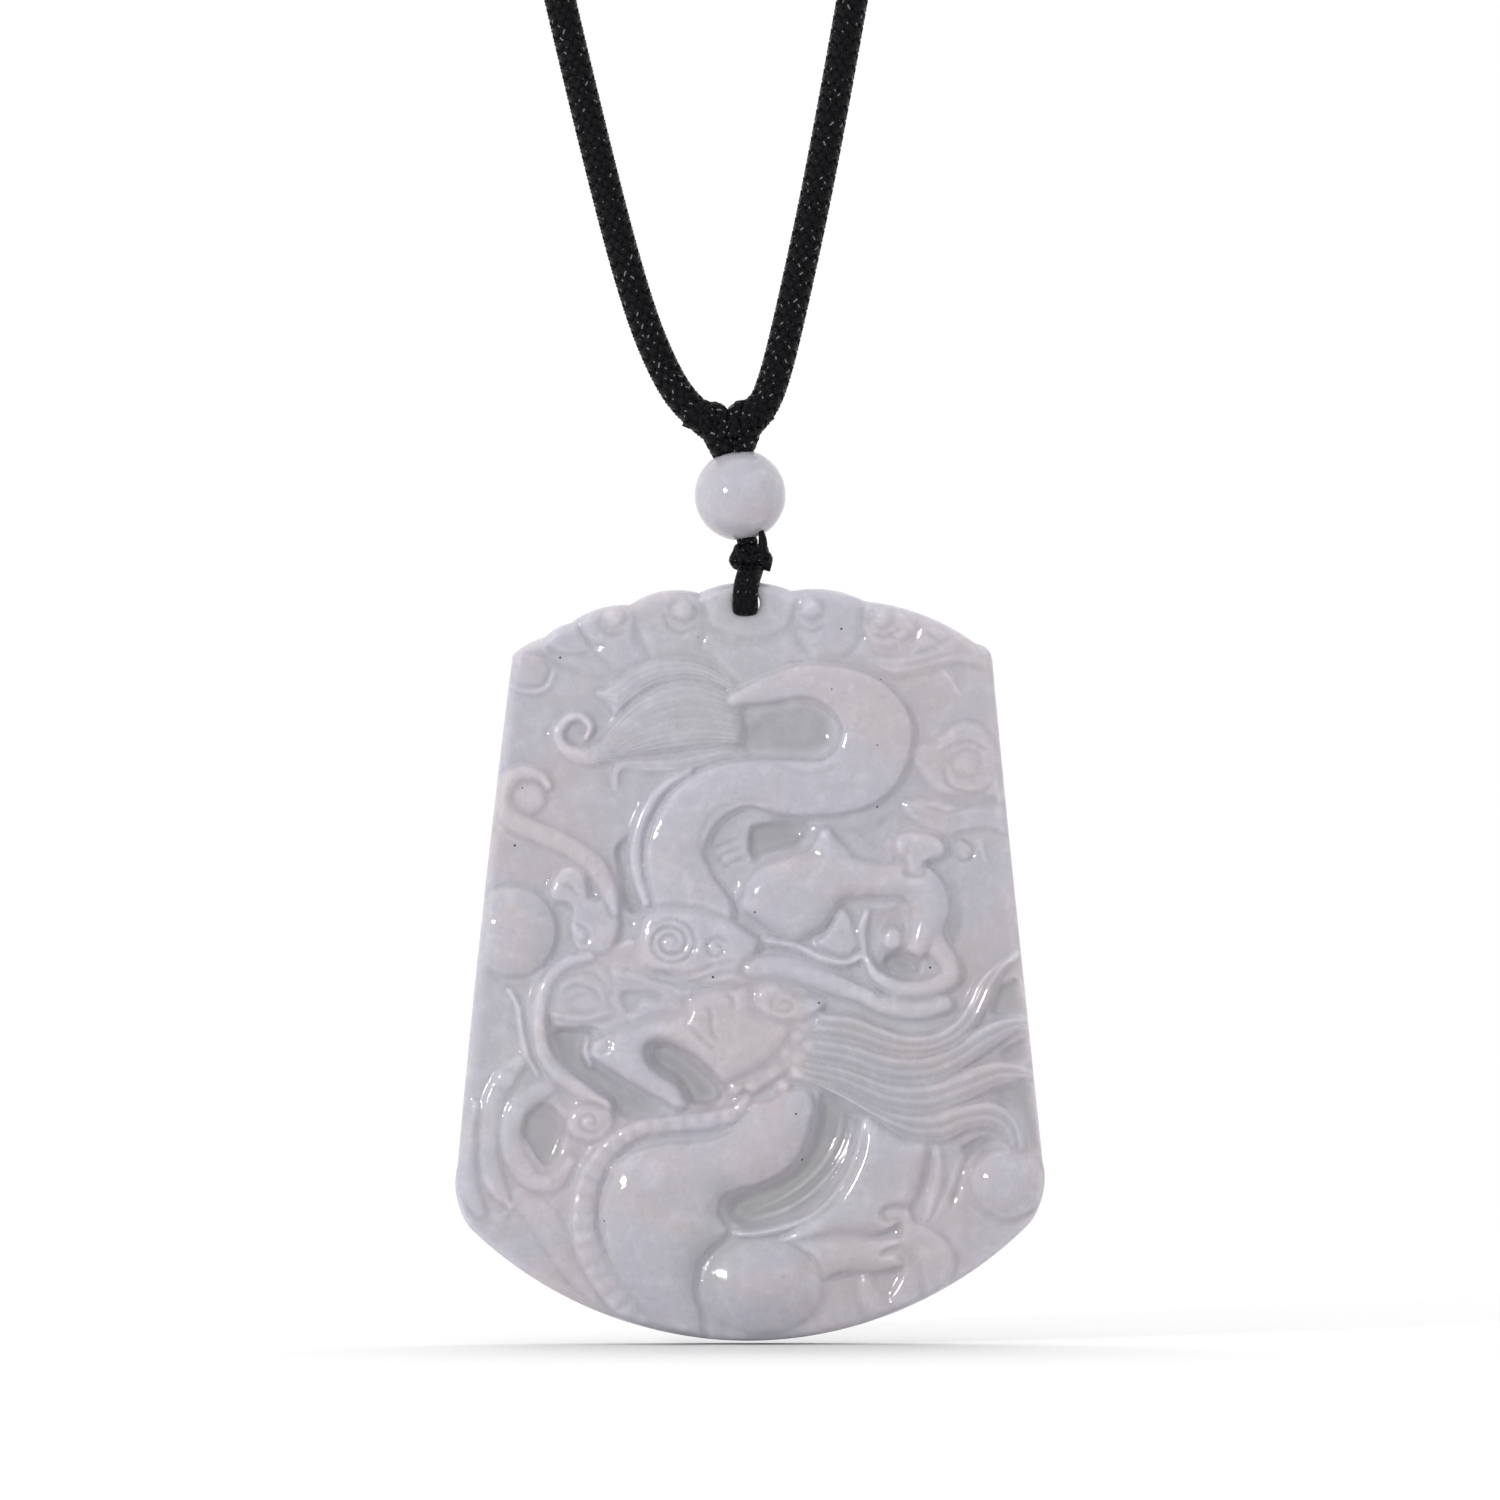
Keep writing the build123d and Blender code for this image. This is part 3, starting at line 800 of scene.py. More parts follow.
@dataclass(frozen=True)
class Pocket(Form):
    """A hollow cut down to a floor inside an outline."""

    outline: str
    floor: float
    wall: float = 8.0
    foot: float = 0.04

    def carve(self, carving: Carving) -> None:
        """Cuts the hollow.

        Args:
            carving: The carving with all earlier forms.
        """
        chosen, inward, _ = carving.within(bare_line(self.outline, closed=True))
        height = carving.height[chosen]
        floor = np.minimum(height, self.floor + self.foot * np.clip(1 - inward / (2 * self.wall), 0, 1))
        share = soft_step(inward / self.wall)
        carving.height[chosen] = height + (floor - height) * share
        carving.strand_depth[chosen] *= 1 - share


@dataclass(frozen=True)
class Line(Form):
    """A cut line, or a raised one where its depth is under 0."""

    path: str
    width: float
    depth: float

    def carve(self, carving: Carving) -> None:
        """Cuts the line."""
        carving.cut(places(self.path), self.width, self.depth)


@dataclass(frozen=True)
class Curl(Form):
    """A cut spiral line. It turns to the right as it winds in, or to the left where turns is under 0."""

    at: Place
    radius: float
    start: float
    turns: float
    width: float = 3.5
    depth: float = 0.08
    flat: float = 1.0
    inner: float = 0.25

    def carve(self, carving: Carving) -> None:
        """Cuts the spiral.

        Args:
            carving: The carving with all earlier forms.
        """
        share = np.linspace(0, 1, max(CURL_LEAST, round(abs(self.turns) * CURL_STEPS)))
        angle = math.radians(self.start) + 2 * math.pi * self.turns * share
        radius = self.radius * (1 - (1 - self.inner) * share)
        x, y = self.at[0] + radius * np.cos(angle), self.at[1] + self.flat * radius * np.sin(angle)
        carving.cut(np.column_stack([x, y]), self.width, self.depth)


@dataclass(frozen=True)
class Lock(Form):
    """Strands of hair that flow side by side between two borders."""

    upper: str
    lower: str
    base: float
    top: float
    strands: float
    depth: float = 0.03
    reach: float = 20.0
    groove: float = 0.02
    fine: float = 0.4
    fullness: float = 0.8
    round_strands: float = 0.7

    def carve(self, carving: Carving) -> None:
        """Lays the lock on the carving and marks its strands.

        Args:
            carving: The carving with all earlier forms.
        """
        upper, lower = bare_line(self.upper), bare_line(self.lower)
        chosen, inward, depth = carving.within(np.vstack([upper, lower[::-1], upper[:1]]))
        to_upper, to_lower = (carving.nearest(chosen, border).distance for border in (upper, lower))
        strand = to_upper / np.maximum(to_upper + to_lower, TINY) * self.strands
        form = swell(self.base, self.top, depth / (PILLOW * self.reach), self.fullness)
        cleft = 1 - np.abs(np.sin(math.pi / 2 * strand)) ** self.round_strands
        form -= self.depth * cleft * soft_step(inward / STRAND_WALL)
        carving.lay(chosen, inward, form, self.groove)
        within = inward > 0
        carving.strand[chosen[within]] = strand[within]
        carving.strand_depth[chosen[within]] = self.fine * soft_step((inward[within] - 1) / HAIR_WALL)


# The forms. Their paths are drawn on the sheet, and their heights are shares of the relief's depth.
# When all are carved, the heights at LEVELS are moved to DEPTHS.


BED = 0.24
LEVELS = (0.0, BED, 1.0)
DEPTHS = (0.2, 0.42, 0.92)
RIM = 0.22
# How much painted shade the stone's colour gets at each height of the carving.
PAINTED_SHADE_LEVELS = (-0.05, 0.06, BED, 0.5)
PAINTED_SHADE_SHARES = (1.0, 0.65, 0.09, 0.0)

CLOUD_BAND = [
    Mass("cloud band", "505,655 560,622 640,596 750,575 860,592 950,625 1000,660 990,672 960,664 930,671 "
        "900,677 878,672 850,664 820,660 790,663 765,674 740,684 722,668 700,655 672,654 645,660 622,674 "
        "600,677 580,674 560,666 545,655 520,660 505,665", 0.25, 0.34, 24, 0.02),
    Mass("left corner lobe", "508,668 512,652 528,640 547,634 556,645 550,655 535,655 520,658", 0.26, 0.38,
        12),
    Mass("far left lobe", "546,636 556,626 573,619 584,632 596,648 580,656 560,656 548,648", 0.27, 0.4, 12),
    Mass("left lobe", "571,621 598,606 632,600 640,612 636,636 650,662 620,672 600,660 585,640 576,628",
        0.28, 0.42, 18),
    Mass("second lobe", "632,603 664,588 700,590 706,606 706,625 704,642 690,654 665,655 650,660 640,645 "
        "634,625", 0.27, 0.4, 24, 0.01),
    Mass("apron under the boss", "712,628 730,640 750,643 772,640 790,632 800,645 809,660 790,664 765,674 "
        "740,684 722,668 704,652 702,640", 0.3, 0.4, 18),
    Mass("right lobe", "792,588 830,586 864,598 864,618 861,640 845,658 822,660 809,658 796,638 790,615",
        0.27, 0.42, 24, 0.01),
    Mass("far right lobe", "864,598 890,597 922,612 920,626 908,640 890,650 870,648 862,630", 0.29, 0.42,
        18),
    Mass("right corner lobe", "918,612 950,622 978,640 994,660 985,668 960,664 930,668 900,676 878,670 "
        "862,655 885,655 910,645", 0.27, 0.37, 14),
    Dome("curl of the far left lobe", (614, 617), 13, 12, 0.32, 0.56, 0.15),
    Dome("curl of the second lobe", (684, 610), 13, 12, 0.32, 0.58, 0.15),
    Dome("curl of the right lobe", (811, 608), 13, 12, 0.32, 0.58, 0.15),
    Dome("curl of the far right lobe", (882, 617), 12, 11, 0.32, 0.56, 0.15),
    Dome("ball at the left shoulder", (528, 670), 21, 20, 0.25, 0.42),
    Ridge("rim of the left ball", "508,682,3 520,689,4 533,691,5 547,687,4 554,673,3", 0.25, 0.34, 0.02),
    Line("crescent of the far left curl", "577,620 583,634 592,644 605,647", 4, 0.11),
    Line("hollow of the far left curl", "598,618 603,630 613,635 626,631", 3.5, 0.1),
    Line("crescent of the far right curl", "888,634 900,640 914,634 922,623", 4, 0.06),
    Line("hollow of the second curl", "664,612 668,626 682,633 699,624", 3.5, 0.08),
    Line("hollow of the right curl", "794,606 796,622 810,631 828,623", 3.5, 0.07),
    Line("hollow of the far right curl", "866,618 872,632 886,637 901,627", 3.5, 0.07),
    Line("crease of the left lobe", "637,628 643,644 652,660", 4, 0.06),
    Line("crease under the right lobe", "866,630 856,645 843,658", 4, 0.07),
    Line("first streak on the right", "864,650 895,657 925,650 948,638", 3.5, 0.05),
    Line("second streak on the right", "872,662 905,665 940,656 966,648", 3.5, 0.05),
    Line("third streak on the right", "922,630 940,640 955,634", 3.5, 0.05),
    Line("first streak on the left", "546,645 556,651 577,655", 3.5, 0.06),
    Line("second streak on the left", "552,660 568,667 582,672", 3.5, 0.05),
    Mass("boss", "702,590 750,576 796,588 794,612 786,628 770,637 748,640 728,637 712,627 704,608", 0.33,
        0.46, 16, 0.12),
]

SIDE_CLOUDS = [
    Dome("low cloud at the left", (527, 797), 20, 19, 0.3, 0.46, 0.1),
    Mass("right cloud", "914,744 930,741 945,730 955,722 968,720 982,726 996,745 1003,770 1008,800 985,797 "
        "960,797 940,795 925,784 915,768 909,755", 0.26, 0.4, 18),
    Dome("curl of the right cloud", (966, 763), 17, 16, 0.32, 0.46),
    Line("ring of the right cloud", "944,762 944,776 951,787 967,793 985,790 994,777", 4, 0.07),
    Line("brow of the right cloud", "940,752 955,743 972,742 988,752", 3.5, 0.05),
    Mass("lower right cloud", "903,800 930,798 958,804 985,803 1008,811 1010,834 985,829 962,832 945,838 "
        "925,828 905,816", 0.25, 0.35, 12, 0.03),
    Line("fold at the right edge", "918,802 945,812 975,806 1000,813", 3.5, 0.05),
    Line("swirl at the right edge", "942,670 950,679 958,694", 4, -0.06),
    Curl("ring behind the heel", (962, 853), 15, 220, 0.9, 3.5, 0.06),
    Line("fold behind the heel", "978,838 981,850 986,862", 4, -0.07),
    Ridge("outer edge cloud", "476,1105,6 471,1130,8 469,1160,10 470,1188,11 480,1210,8", 0.24, 0.36, 0.02),
    Ridge("left cloud", "522,1060,9 506,1078,12 494,1100,12 489,1130,11 490,1160,12 497,1185,11 512,1203,6",
        0.26, 0.4, 0.02),
    Dome("curl of the left cloud", (506, 1078), 13, 12, 0.32, 0.46),
    Ridge("ring round the left pocket", "552,1086,9 532,1094,12 515,1112,12 511,1138,12 519,1162,12 "
        "536,1181,11 556,1180,11 570,1162,8", 0.28, 0.4, 0.02),
    Ridge("bank beside the chest", "520,1196,12 540,1214,15 556,1240,15 574,1268,13 596,1296,9", 0.24, 0.34,
        0.02),
    Line("hook at the lower left", "496,1219 508,1210 518,1201", 4, -0.06),
    Pocket("left cloud pocket", "534,1104 548,1099 562,1109 569,1125 566,1142 560,1158 549,1169 538,1163 "
        "528,1149 521,1134 523,1117", 0.06),
]

HOLLOWS = [
    Pocket("hollow under the whisker", "612,850 622,836 634,828 631,850 631,872 637,890 645,903 640,916 "
        "628,914 620,900 618,880", 0.04),
    Pocket("hollow beside the shin", "936,858 950,868 962,888 967,915 963,940 950,958 936,950 944,934 "
        "953,912 951,890 942,874", 0.13, 14),
    Pocket("hollow under the first lock", "992,988 1002,980 1018,976 1030,1000 1030,1014 1008,1016 "
        "990,1017 987,1004", 0.08, 7),
    Pocket("hollow under the second lock", "995,1053 1008,1042 1026,1034 1038,1048 1038,1060 1014,1062 "
        "1000,1060", 0.08, 7),
    Pocket("hollow under the third lock", "988,1093 1008,1083 1030,1082 1042,1100 1046,1150 1030,1150 "
        "1024,1128 1014,1110 1000,1101", 0.06, 7),
]

TAIL = [
    Lock("lower lock of the tail", "748,745 720,746 696,750 668,754 640,755 622,758 612,764 609,776 "
        "613,790", "748,758 722,761 700,769 680,775 660,774 642,774 629,770 622,773 620,782 618,792", 0.3,
        0.5, 4),
    Lock("upper lock of the tail", "742,688 724,672 702,660 678,656 655,658 635,665 618,677 604,688 "
        "594,689", "744,701 720,689 695,681 668,683 645,693 628,706 615,718 607,706 597,696", 0.34, 0.56, 6),
    Lock("brush of the tail", "744,700 720,688 695,680 668,682 645,692 627,705 613,721 600,738 586,746 "
        "573,743", "746,747 716,746 686,750 656,753 630,757 606,765 585,768 567,762 557,750", 0.4, 0.68, 12,
        0.03, 28),
    Ridge("curl of the brush", "584,756,10 566,749,9 558,734,8 566,720,7 580,716,7 590,726,6 586,738,4",
        0.36, 0.56, 0.05),
]

BODY = [
    Ridge("body", "734,699,9 752,694,13 772,688,17 800,681,19 827,684,22 858,700,30 877,730,38 864,768,37 "
        "832,786,31 788,787,30 746,783,26 712,794,28 687,818,30 675,850,31 681,882,34 697,914,38", 0.42,
        0.78, 0.05, 0.42),
    Ridge("crest of the body", "690,770,5 662,788,7 644,815,8 636,845,8 637,872,8 646,902,7", 0.38, 0.52,
        0.02),
    Pocket("hollow between the arms", "730,752 737,732 750,718 765,707 785,702 805,699 822,704 834,716 "
        "839,732 834,747 820,755 800,757 770,757 745,757 730,755", 0.08, 14),
    Line("scallop under the hollow", "742,762 775,763 800,773 825,771 845,760", 4, 0.05),
    Line("rim of the bend", "894,690 906,708 912,728 911,748 906,766", 4, 0.06),
    Line("outer ring of the belly", "792,802 750,800 722,806 706,822 700,843 706,864 722,882 738,894", 3.5,
        0.05),
    Line("inner ring of the belly", "780,811 752,809 731,814 717,827 712,843 717,858 729,869", 3.5, 0.05),
    Line("first fan line", "716,860 728,851 742,847", 3.2, 0.05),
    Line("second fan line", "723,868 733,861 744,858", 3.2, 0.05),
    Line("third fan line", "713,848 726,842 740,838", 3.2, 0.05),
    Pocket("hollow behind the thigh", "748,824 762,819 782,817 804,817 812,822 809,837 801,847 783,852 "
        "768,857 755,866 746,854 745,838", 0.0, 10),
    Pocket("hollow over the thigh", "838,827 860,816 885,808 899,806 893,822 888,838 890,852 898,860 "
        "878,858 862,853 850,842", 0.15, 14),
]

MANE = [
    Lock(f"{place} lock of the mane", upper, lower, 0.5, 0.6, 3, 0.025, 26, 0.0, 1.0)
    for place, upper, lower in (
        ("lowest", "790,1068 806,1075 842,1086 884,1106 922,1112 950,1105 985,1098 1006,1105 1019,1120 "
            "1024,1140 1024,1153", "798,1082 816,1087 842,1101 872,1119 900,1135 928,1142 950,1140 "
            "964,1132 985,1128 999,1135 1006,1153"),
        ("third", "790,1052 808,1057 845,1064 888,1079 925,1080 955,1071 978,1062 1000,1058 1022,1064 "
            "1036,1072", "788,1070 804,1078 842,1089 884,1108 922,1114 950,1107 976,1097 1000,1086 "
            "1018,1081 1036,1078"),
        ("second", "795,1028 815,1034 850,1040 890,1052 925,1052 952,1042 972,1029 992,1019 1012,1015 "
            "1034,1017", "788,1053 806,1060 845,1067 888,1082 925,1083 955,1073 978,1058 998,1045 "
            "1014,1034 1034,1026"),
        ("first", "803,1004 824,1010 852,1013 878,1023 905,1032 932,1031 953,1019 965,1002 976,980 992,964 "
            "1018,950", "794,1031 813,1037 850,1043 890,1055 925,1056 952,1047 972,1031 985,1009 995,986 "
            "1006,968 1020,955"),
    )
]

NECK = [
    Mass("shoulder", "862,1115 880,1124 905,1138 926,1142 927,1160 921,1185 914,1202 902,1222 880,1234 "
        "855,1238 830,1238 812,1244 796,1250 778,1240 800,1222 826,1200 842,1175 852,1145", 0.4, 0.74, 34,
        0.05),
    Ridge("back of the arm", "936,1144,5 938,1170,7 932,1195,7 926,1216,4", 0.28, 0.36, 0.02),
    Ridge("fin of the arm", "957,1158,3 951,1180,4 941,1204,4 934,1220,3", 0.23, 0.28, 0.02),
    Ridge("belly plates", "746,1099,7 733,1113,10 706,1120,11 672,1123,11 640,1128,11 616,1142,12 "
        "598,1163,13 586,1192,14 584,1222,14 592,1254,15 612,1286,16 640,1314,17 672,1334,16", 0.42, 0.56,
        0.03, 0.7, True, 17, 0.07),
    Mass("chest", "608,1175 614,1162 626,1153 642,1145 665,1140 700,1138 725,1130 742,1116 750,1101 "
        "768,1097 785,1089 804,1086 815,1100 812,1125 802,1152 785,1172 762,1184 740,1190 725,1198 "
        "722,1214 730,1230 715,1246 702,1262 697,1288 703,1315 700,1345 664,1337 632,1300 612,1266 "
        "602,1235 600,1205", 0.48, 0.94, 64, 0.03),
    Pocket("neck groove", "818,1090 835,1095 850,1108 860,1120 856,1148 842,1176 822,1200 800,1216 "
        "772,1226 745,1228 730,1222 724,1210 728,1198 745,1189 768,1181 790,1168 806,1145 815,1118", -0.02,
        9),
    Ridge("upper step of the groove", "852,1114,3 848,1142,4 833,1170,4 811,1193,4 783,1210,4 752,1219,3",
        0.06, 0.1, 0.0),
    Ridge("lower step of the groove", "841,1108,3 838,1136,4 823,1163,4 801,1185,4 775,1201,3 752,1209,2",
        0.03, 0.06, 0.0),
    Ridge("lip of the neck groove", "864,1122,4 858,1150,5 844,1180,5 823,1206,5 797,1222,5 765,1231,5 "
        "738,1233,4", 0.4, 0.52, 0.0),
]

HEAD = [
    Mass("ground of the head", "552,962 600,950 640,935 700,960 760,965 800,985 822,1005 812,1040 795,1065 "
        "760,1090 725,1085 700,1060 660,1045 610,1050 598,1030 552,1024", 0.46, 0.5, 20, 0.0),
    Ridge("thin ridge over the horn", "766,940,5 795,945,6 820,957,6 845,962,6 864,953,5", 0.42, 0.56, 0.02),
    Ridge("horn", "744,968,14 775,966,15 805,972,15 835,984,14 870,997,11", 0.46, 0.74, 0.05),
    Line("groove along the horn", "790,960 815,966 840,975 866,985", 3.5, 0.06),
    Mass("cheek and jaw", "590,1045 598,1036 620,1028 645,1022 665,1018 680,1014 686,1002 700,990 722,982 "
        "745,978 753,990 756,1008 770,1018 786,1022 791,1034 781,1052 765,1067 745,1077 735,1081 722,1083 "
        "710,1071 696,1059 681,1048 669,1041 656,1041 648,1048 650,1062 662,1073 678,1083 685,1096 "
        "687,1106 676,1110 662,1102 640,1090 618,1077 600,1065 589,1055", 0.49, 0.78, 26, 0.02),
    Mass("brow", "641,916 652,907 668,902 688,903 706,906 724,913 742,923 760,938 757,955 745,968 752,982 "
        "735,990 712,990 690,984 672,976 652,974 638,962 634,940", 0.48, 0.84, 26, 0.06),
    Curl("great spiral of the brow", (671, 942), 27, 190, 2.6, 3.6, 0.15, 0.92, 0.2),
    Curl("small spiral of the brow", (716, 948), 13, 20, -1.4, 3.4, 0.13),
    Line("upper fold of the brow", "638,962 662,973 690,973 715,963 738,958", 3.5, 0.07),
    Line("middle fold of the brow", "640,972 662,981 690,982 715,974 742,970", 3.5, 0.07),
    Line("lower fold of the brow", "690,992 715,985 738,982", 3.5, 0.06),
    Pocket("eye", "620,990 640,987 657,989 670,997 660,1002 645,1003 635,1012 625,1013 619,1002", 0.3, 6),
    Line("upper lid", "613,976 641,979 665,985 684,993 696,988", 3.2, -0.06),
    Line("lower lid", "622,1019 640,1014 652,1008 675,1005", 3.2, -0.06),
    Line("crease before the cheek", "683,1001 688,1010 686,1022", 3.0, 0.12),
    Line("crease of the cheek", "704,1004 711,1014 711,1028 718,1040", 3.0, 0.12),
    Line("upper crease of the cheek", "724,992 732,998 734,1008", 3.0, 0.12),
    Line("fold over the eye", "606,970 630,974 660,977 697,984", 3.0, -0.06),
    Line("fold of the cheek", "682,1020 696,1032 706,1043 716,1050", 3.5, 0.08),
    Mass("ear", "753,996 757,986 772,981 788,986 800,994 816,996 826,1000 820,1010 808,1019 792,1022 "
        "776,1020 762,1015 754,1007", 0.5, 0.68, 14, 0.04),
    Curl("curl of the ear", (784, 1004), 14, 240, -1.1, 3.2, 0.09, 0.7),
    Line("fold of the ear", "778,985 792,995 808,1002 822,1002", 3.4, 0.08),
    Mass("muzzle", "558,968 575,958 600,958 612,968 614,985 612,1002 620,1012 612,1022 596,1022 572,1021 "
        "553,1019 551,1000 553,982", 0.42, 0.54, 18, 0.0),
    Dome("nostril wing", (583, 1003), 16, 11, 0.46, 0.58, 0.02),
    Line("fold of the muzzle", "562,994 574,985 592,989 602,1002", 3.5, 0.08),
    Line("upper fold of the muzzle", "566,978 582,972 598,976 608,990", 3.5, 0.06),
    Mass("nose", "547,893 552,877 562,866 574,863 586,870 590,884 592,896 606,898 618,908 622,924 618,942 "
        "608,954 595,958 581,955 571,942 568,926 570,912 566,905 554,903", 0.42, 0.62, 17, 0.03),
    Line("hook of the nostril", "572,922 581,926 588,933 586,942 578,940", 3.5, 0.12),
    Line("fold of the nose", "563,884 572,888 577,896", 3.5, 0.07),
    Ridge("upper lip", "555,1014,4 572,1017,5 591,1017,5 608,1011,4", 0.46, 0.58, 0.02),
    Dome("tip of the jaws", (601, 1045), 11, 9, 0.52, 0.72, 0.02),
    Pocket("hollow left of the jaws", "554,1027 575,1025 592,1026 597,1036 589,1046 592,1058 604,1068 "
        "622,1079 642,1090 662,1100 667,1106 650,1115 628,1120 616,1114 606,1099 590,1086 570,1073 "
        "559,1056 554,1040", 0.05, 7),
    Ridge("fang", "588,1038,3.5 585,1051,4 591,1065,3", 0.3, 0.5, 0.0),
    Pocket("hollow of the mouth", "648,1047 656,1041 669,1041 681,1048 696,1059 710,1071 721,1083 724,1095 "
        "718,1104 703,1107 689,1103 684,1092 676,1081 660,1071 650,1062", -0.05, 7),
    *(Dome(f"beard knob {k + 1}", at, 9, 8, 0.48, 0.57, 0.01) for k, at in enumerate(
        [(735, 1088), (753, 1086), (783, 1085), (797, 1073), (772, 1072), (797, 1058), (785, 1052),
         (795, 1036), (809, 1044)])),
]

WHISKERS = [
    Line("thin strand over the whisker", "495,820 505,832 514,839 527,843", 4, -0.06),
    Ridge("first whisker", "549,786,5 541,776,8 522,773,10 507,784,11 503,803,11 515,820,12 541,833,13 "
        "573,848,13 596,867,13 609,892,11 615,912,7", 0.32, 0.56, 0.04),
    Ridge("strand beside the second whisker", "510,990,3 518,1006,4 522,1030,5 527,1052,5 538,1074,3", 0.26,
        0.4, 0.03),
    Ridge("second whisker", "590,956,8 566,963,10 549,980,10 541,1002,10 540,1030,10 546,1056,10.5 "
        "560,1074,11 582,1090,11 602,1106,12", 0.38, 0.68, 0.04),
    Dome("end of the second whisker", (591, 1121), 26, 22, 0.38, 0.62, 0.02),
    Curl("spiral of the second whisker", (590, 1121), 14, 330, 1.4, 3.4, 0.1, 0.9),
    Line("line along the whisker", "545,1046 551,1060 562,1071 580,1082", 3.2, 0.05),
    Dome("left pearl", (515, 931), 45, 47, 0.3, 0.87, 0.06, 0.72),
    Line("rim under the left pearl", "479,964 497,975 515,981 532,978 548,967", 4, -0.06),
]

HIND_LEG = [
    Mass("thigh", "738,905 740,888 748,874 762,862 785,854 806,848 835,848 860,855 882,860 905,860 925,862 "
        "925,895 905,899 880,899 858,900 843,903 834,915 822,929 805,939 790,941 772,935 755,923 743,914",
        0.44, 0.92, 40, 0.06),
    Ridge("spur", "828,868,30 827,850,18 825,835,10", 0.5, 0.79, 0.03, 0.8, False),
    Ridge("shin", "888,880,18 915,882,22 928,900,23 927,922,20 918,944,15", 0.46, 0.84, 0.05, 0.75, False),
    Mass("cap of the heel", "891,850 892,838 901,830 917,828 935,832 946,842 946,853 938,861 926,864 "
        "926,878 904,876 903,861 896,858", 0.46, 0.74, 16, 0.03),
    Curl("curl of the heel", (903, 850), 8, 200, -0.8, 3.2, 0.08),
    Mass("fold under the thigh", "838,907 850,912 856,930 859,947 845,957 825,951 814,941 827,928", 0.4,
        0.52, 12, 0.02),
    Line("first fur line", "862,904 880,906 897,903 912,895", 4, -0.07),
    Ridge("first fur of the shin", "866,912,5 861,930,7 864,949,5", 0.42, 0.49, 0.01),
    Dome("knob of the fur", (893, 938), 12, 13, 0.42, 0.51, 0.01),
    Line("hook of the fur", "887,916 879,930 882,943 891,951", 3.5, -0.07),
    Line("third fur of the shin", "903,922 908,935 905,948", 3.5, 0.08),
    Pocket("hollow in the foot", "882,956 895,949 910,951 921,961 919,973 903,979 888,976 881,966", 0.03, 6),
    Ridge("upper claw", "924,922,18 934,943,15 948,964,13 946,978,13 924,988,12 898,987,11 876,975,9 "
        "866,958,6", 0.44, 0.74, 0.03, 0.75, False),
    Ridge("second claw", "848,988,10 870,1000,11 892,1007,12 920,1009,12 943,1003,11", 0.42, 0.7, 0.03, 0.75,
        False),
]

FORE_LEG = [
    Ridge("forearm", "788,1268,30 815,1258,24 845,1253,20 875,1254,19 905,1250,16", 0.42, 0.68, 0.03),
    Dome("knee", (762, 1285), 64, 50, 0.27, 0.88, 0.0, 0.85),
    Ridge("third toe", "866,1280,9 869,1296,13 880,1312,14", 0.3, 0.42, 0.02),
    Ridge("second toe", "884,1251,4 897,1249,6 908,1261,9 911,1278,13 903,1300,16", 0.32, 0.43, 0.03),
    Mass("hand and first toe", "878,1212 884,1204 898,1202 911,1207 916,1218 930,1224 944,1234 954,1247 "
        "956,1262 952,1277 944,1292 928,1296 919,1281 914,1264 908,1251 896,1244 899,1232 896,1222 "
        "884,1222", 0.38, 0.56, 18, 0.04),
    Pocket("hollow right of the arm", "956,1147 966,1138 985,1131 999,1139 990,1149 976,1158 967,1166 "
        "964,1185 955,1204 944,1217 948,1196 957,1172 961,1158", 0.09, 9),
    Dome("right pearl", (1005, 1183), 38, 37, 0.32, 0.88, 0.06, 0.6),
    Line("rim beside the right pearl", "966,1168 961,1186 964,1203", 4, -0.06),
]

# The far forms come first, and each later form lies over those before it.
FORMS = (CLOUD_BAND + SIDE_CLOUDS + HOLLOWS + TAIL + BODY + MANE + NECK + HEAD + WHISKERS + HIND_LEG
         + FORE_LEG)


# The plaque


# Each side of the outline has two places for every arc, one on it and one at its end.
LEFT_SHOULDER = (513, 655)
TOP_SIDE = ("528,644 546,637 557,628 571,623 598,609 630,605 664,591 699,593 "
            "748,582 792,591 830,590 864,601 928,617 976,644 988,650 991,664")
RIGHT_SIDE = "1016,909 1042,1161 1044,1183 1037,1207"
BOTTOM_SIDE = "1033,1217 1026,1226 750,1340 471,1228 465,1219 461,1209"
LEFT_SIDE = "456,1188 458,1166 485,893 513,655"
ARC_STEPS = 200


def side_line(start: Place, side: str) -> Array:
    """Points along one side of the outline.

    Args:
        start: Where the side starts.
        side: The places of its arcs.

    Returns:
        The points, with both ends.
    """
    line = [np.array([start], float)]
    for bulge, end in places(side).reshape(-1, 2, 2):
        a, b, c = (complex(*place) for place in (start, bulge, end))
        w = (c - a) / (b - a)
        centre = (b - a) * (w - abs(w) ** 2) / (2j * w.imag) + a
        turn = np.angle((b - centre) / (a - centre)) + np.angle((c - centre) / (b - centre))
        spots = centre + (a - centre) * np.exp(1j * np.linspace(0, turn, ARC_STEPS + 1)[1:])
        line.append(np.column_stack([spots.real, spots.imag]))
        start = end
    return np.vstack(line)


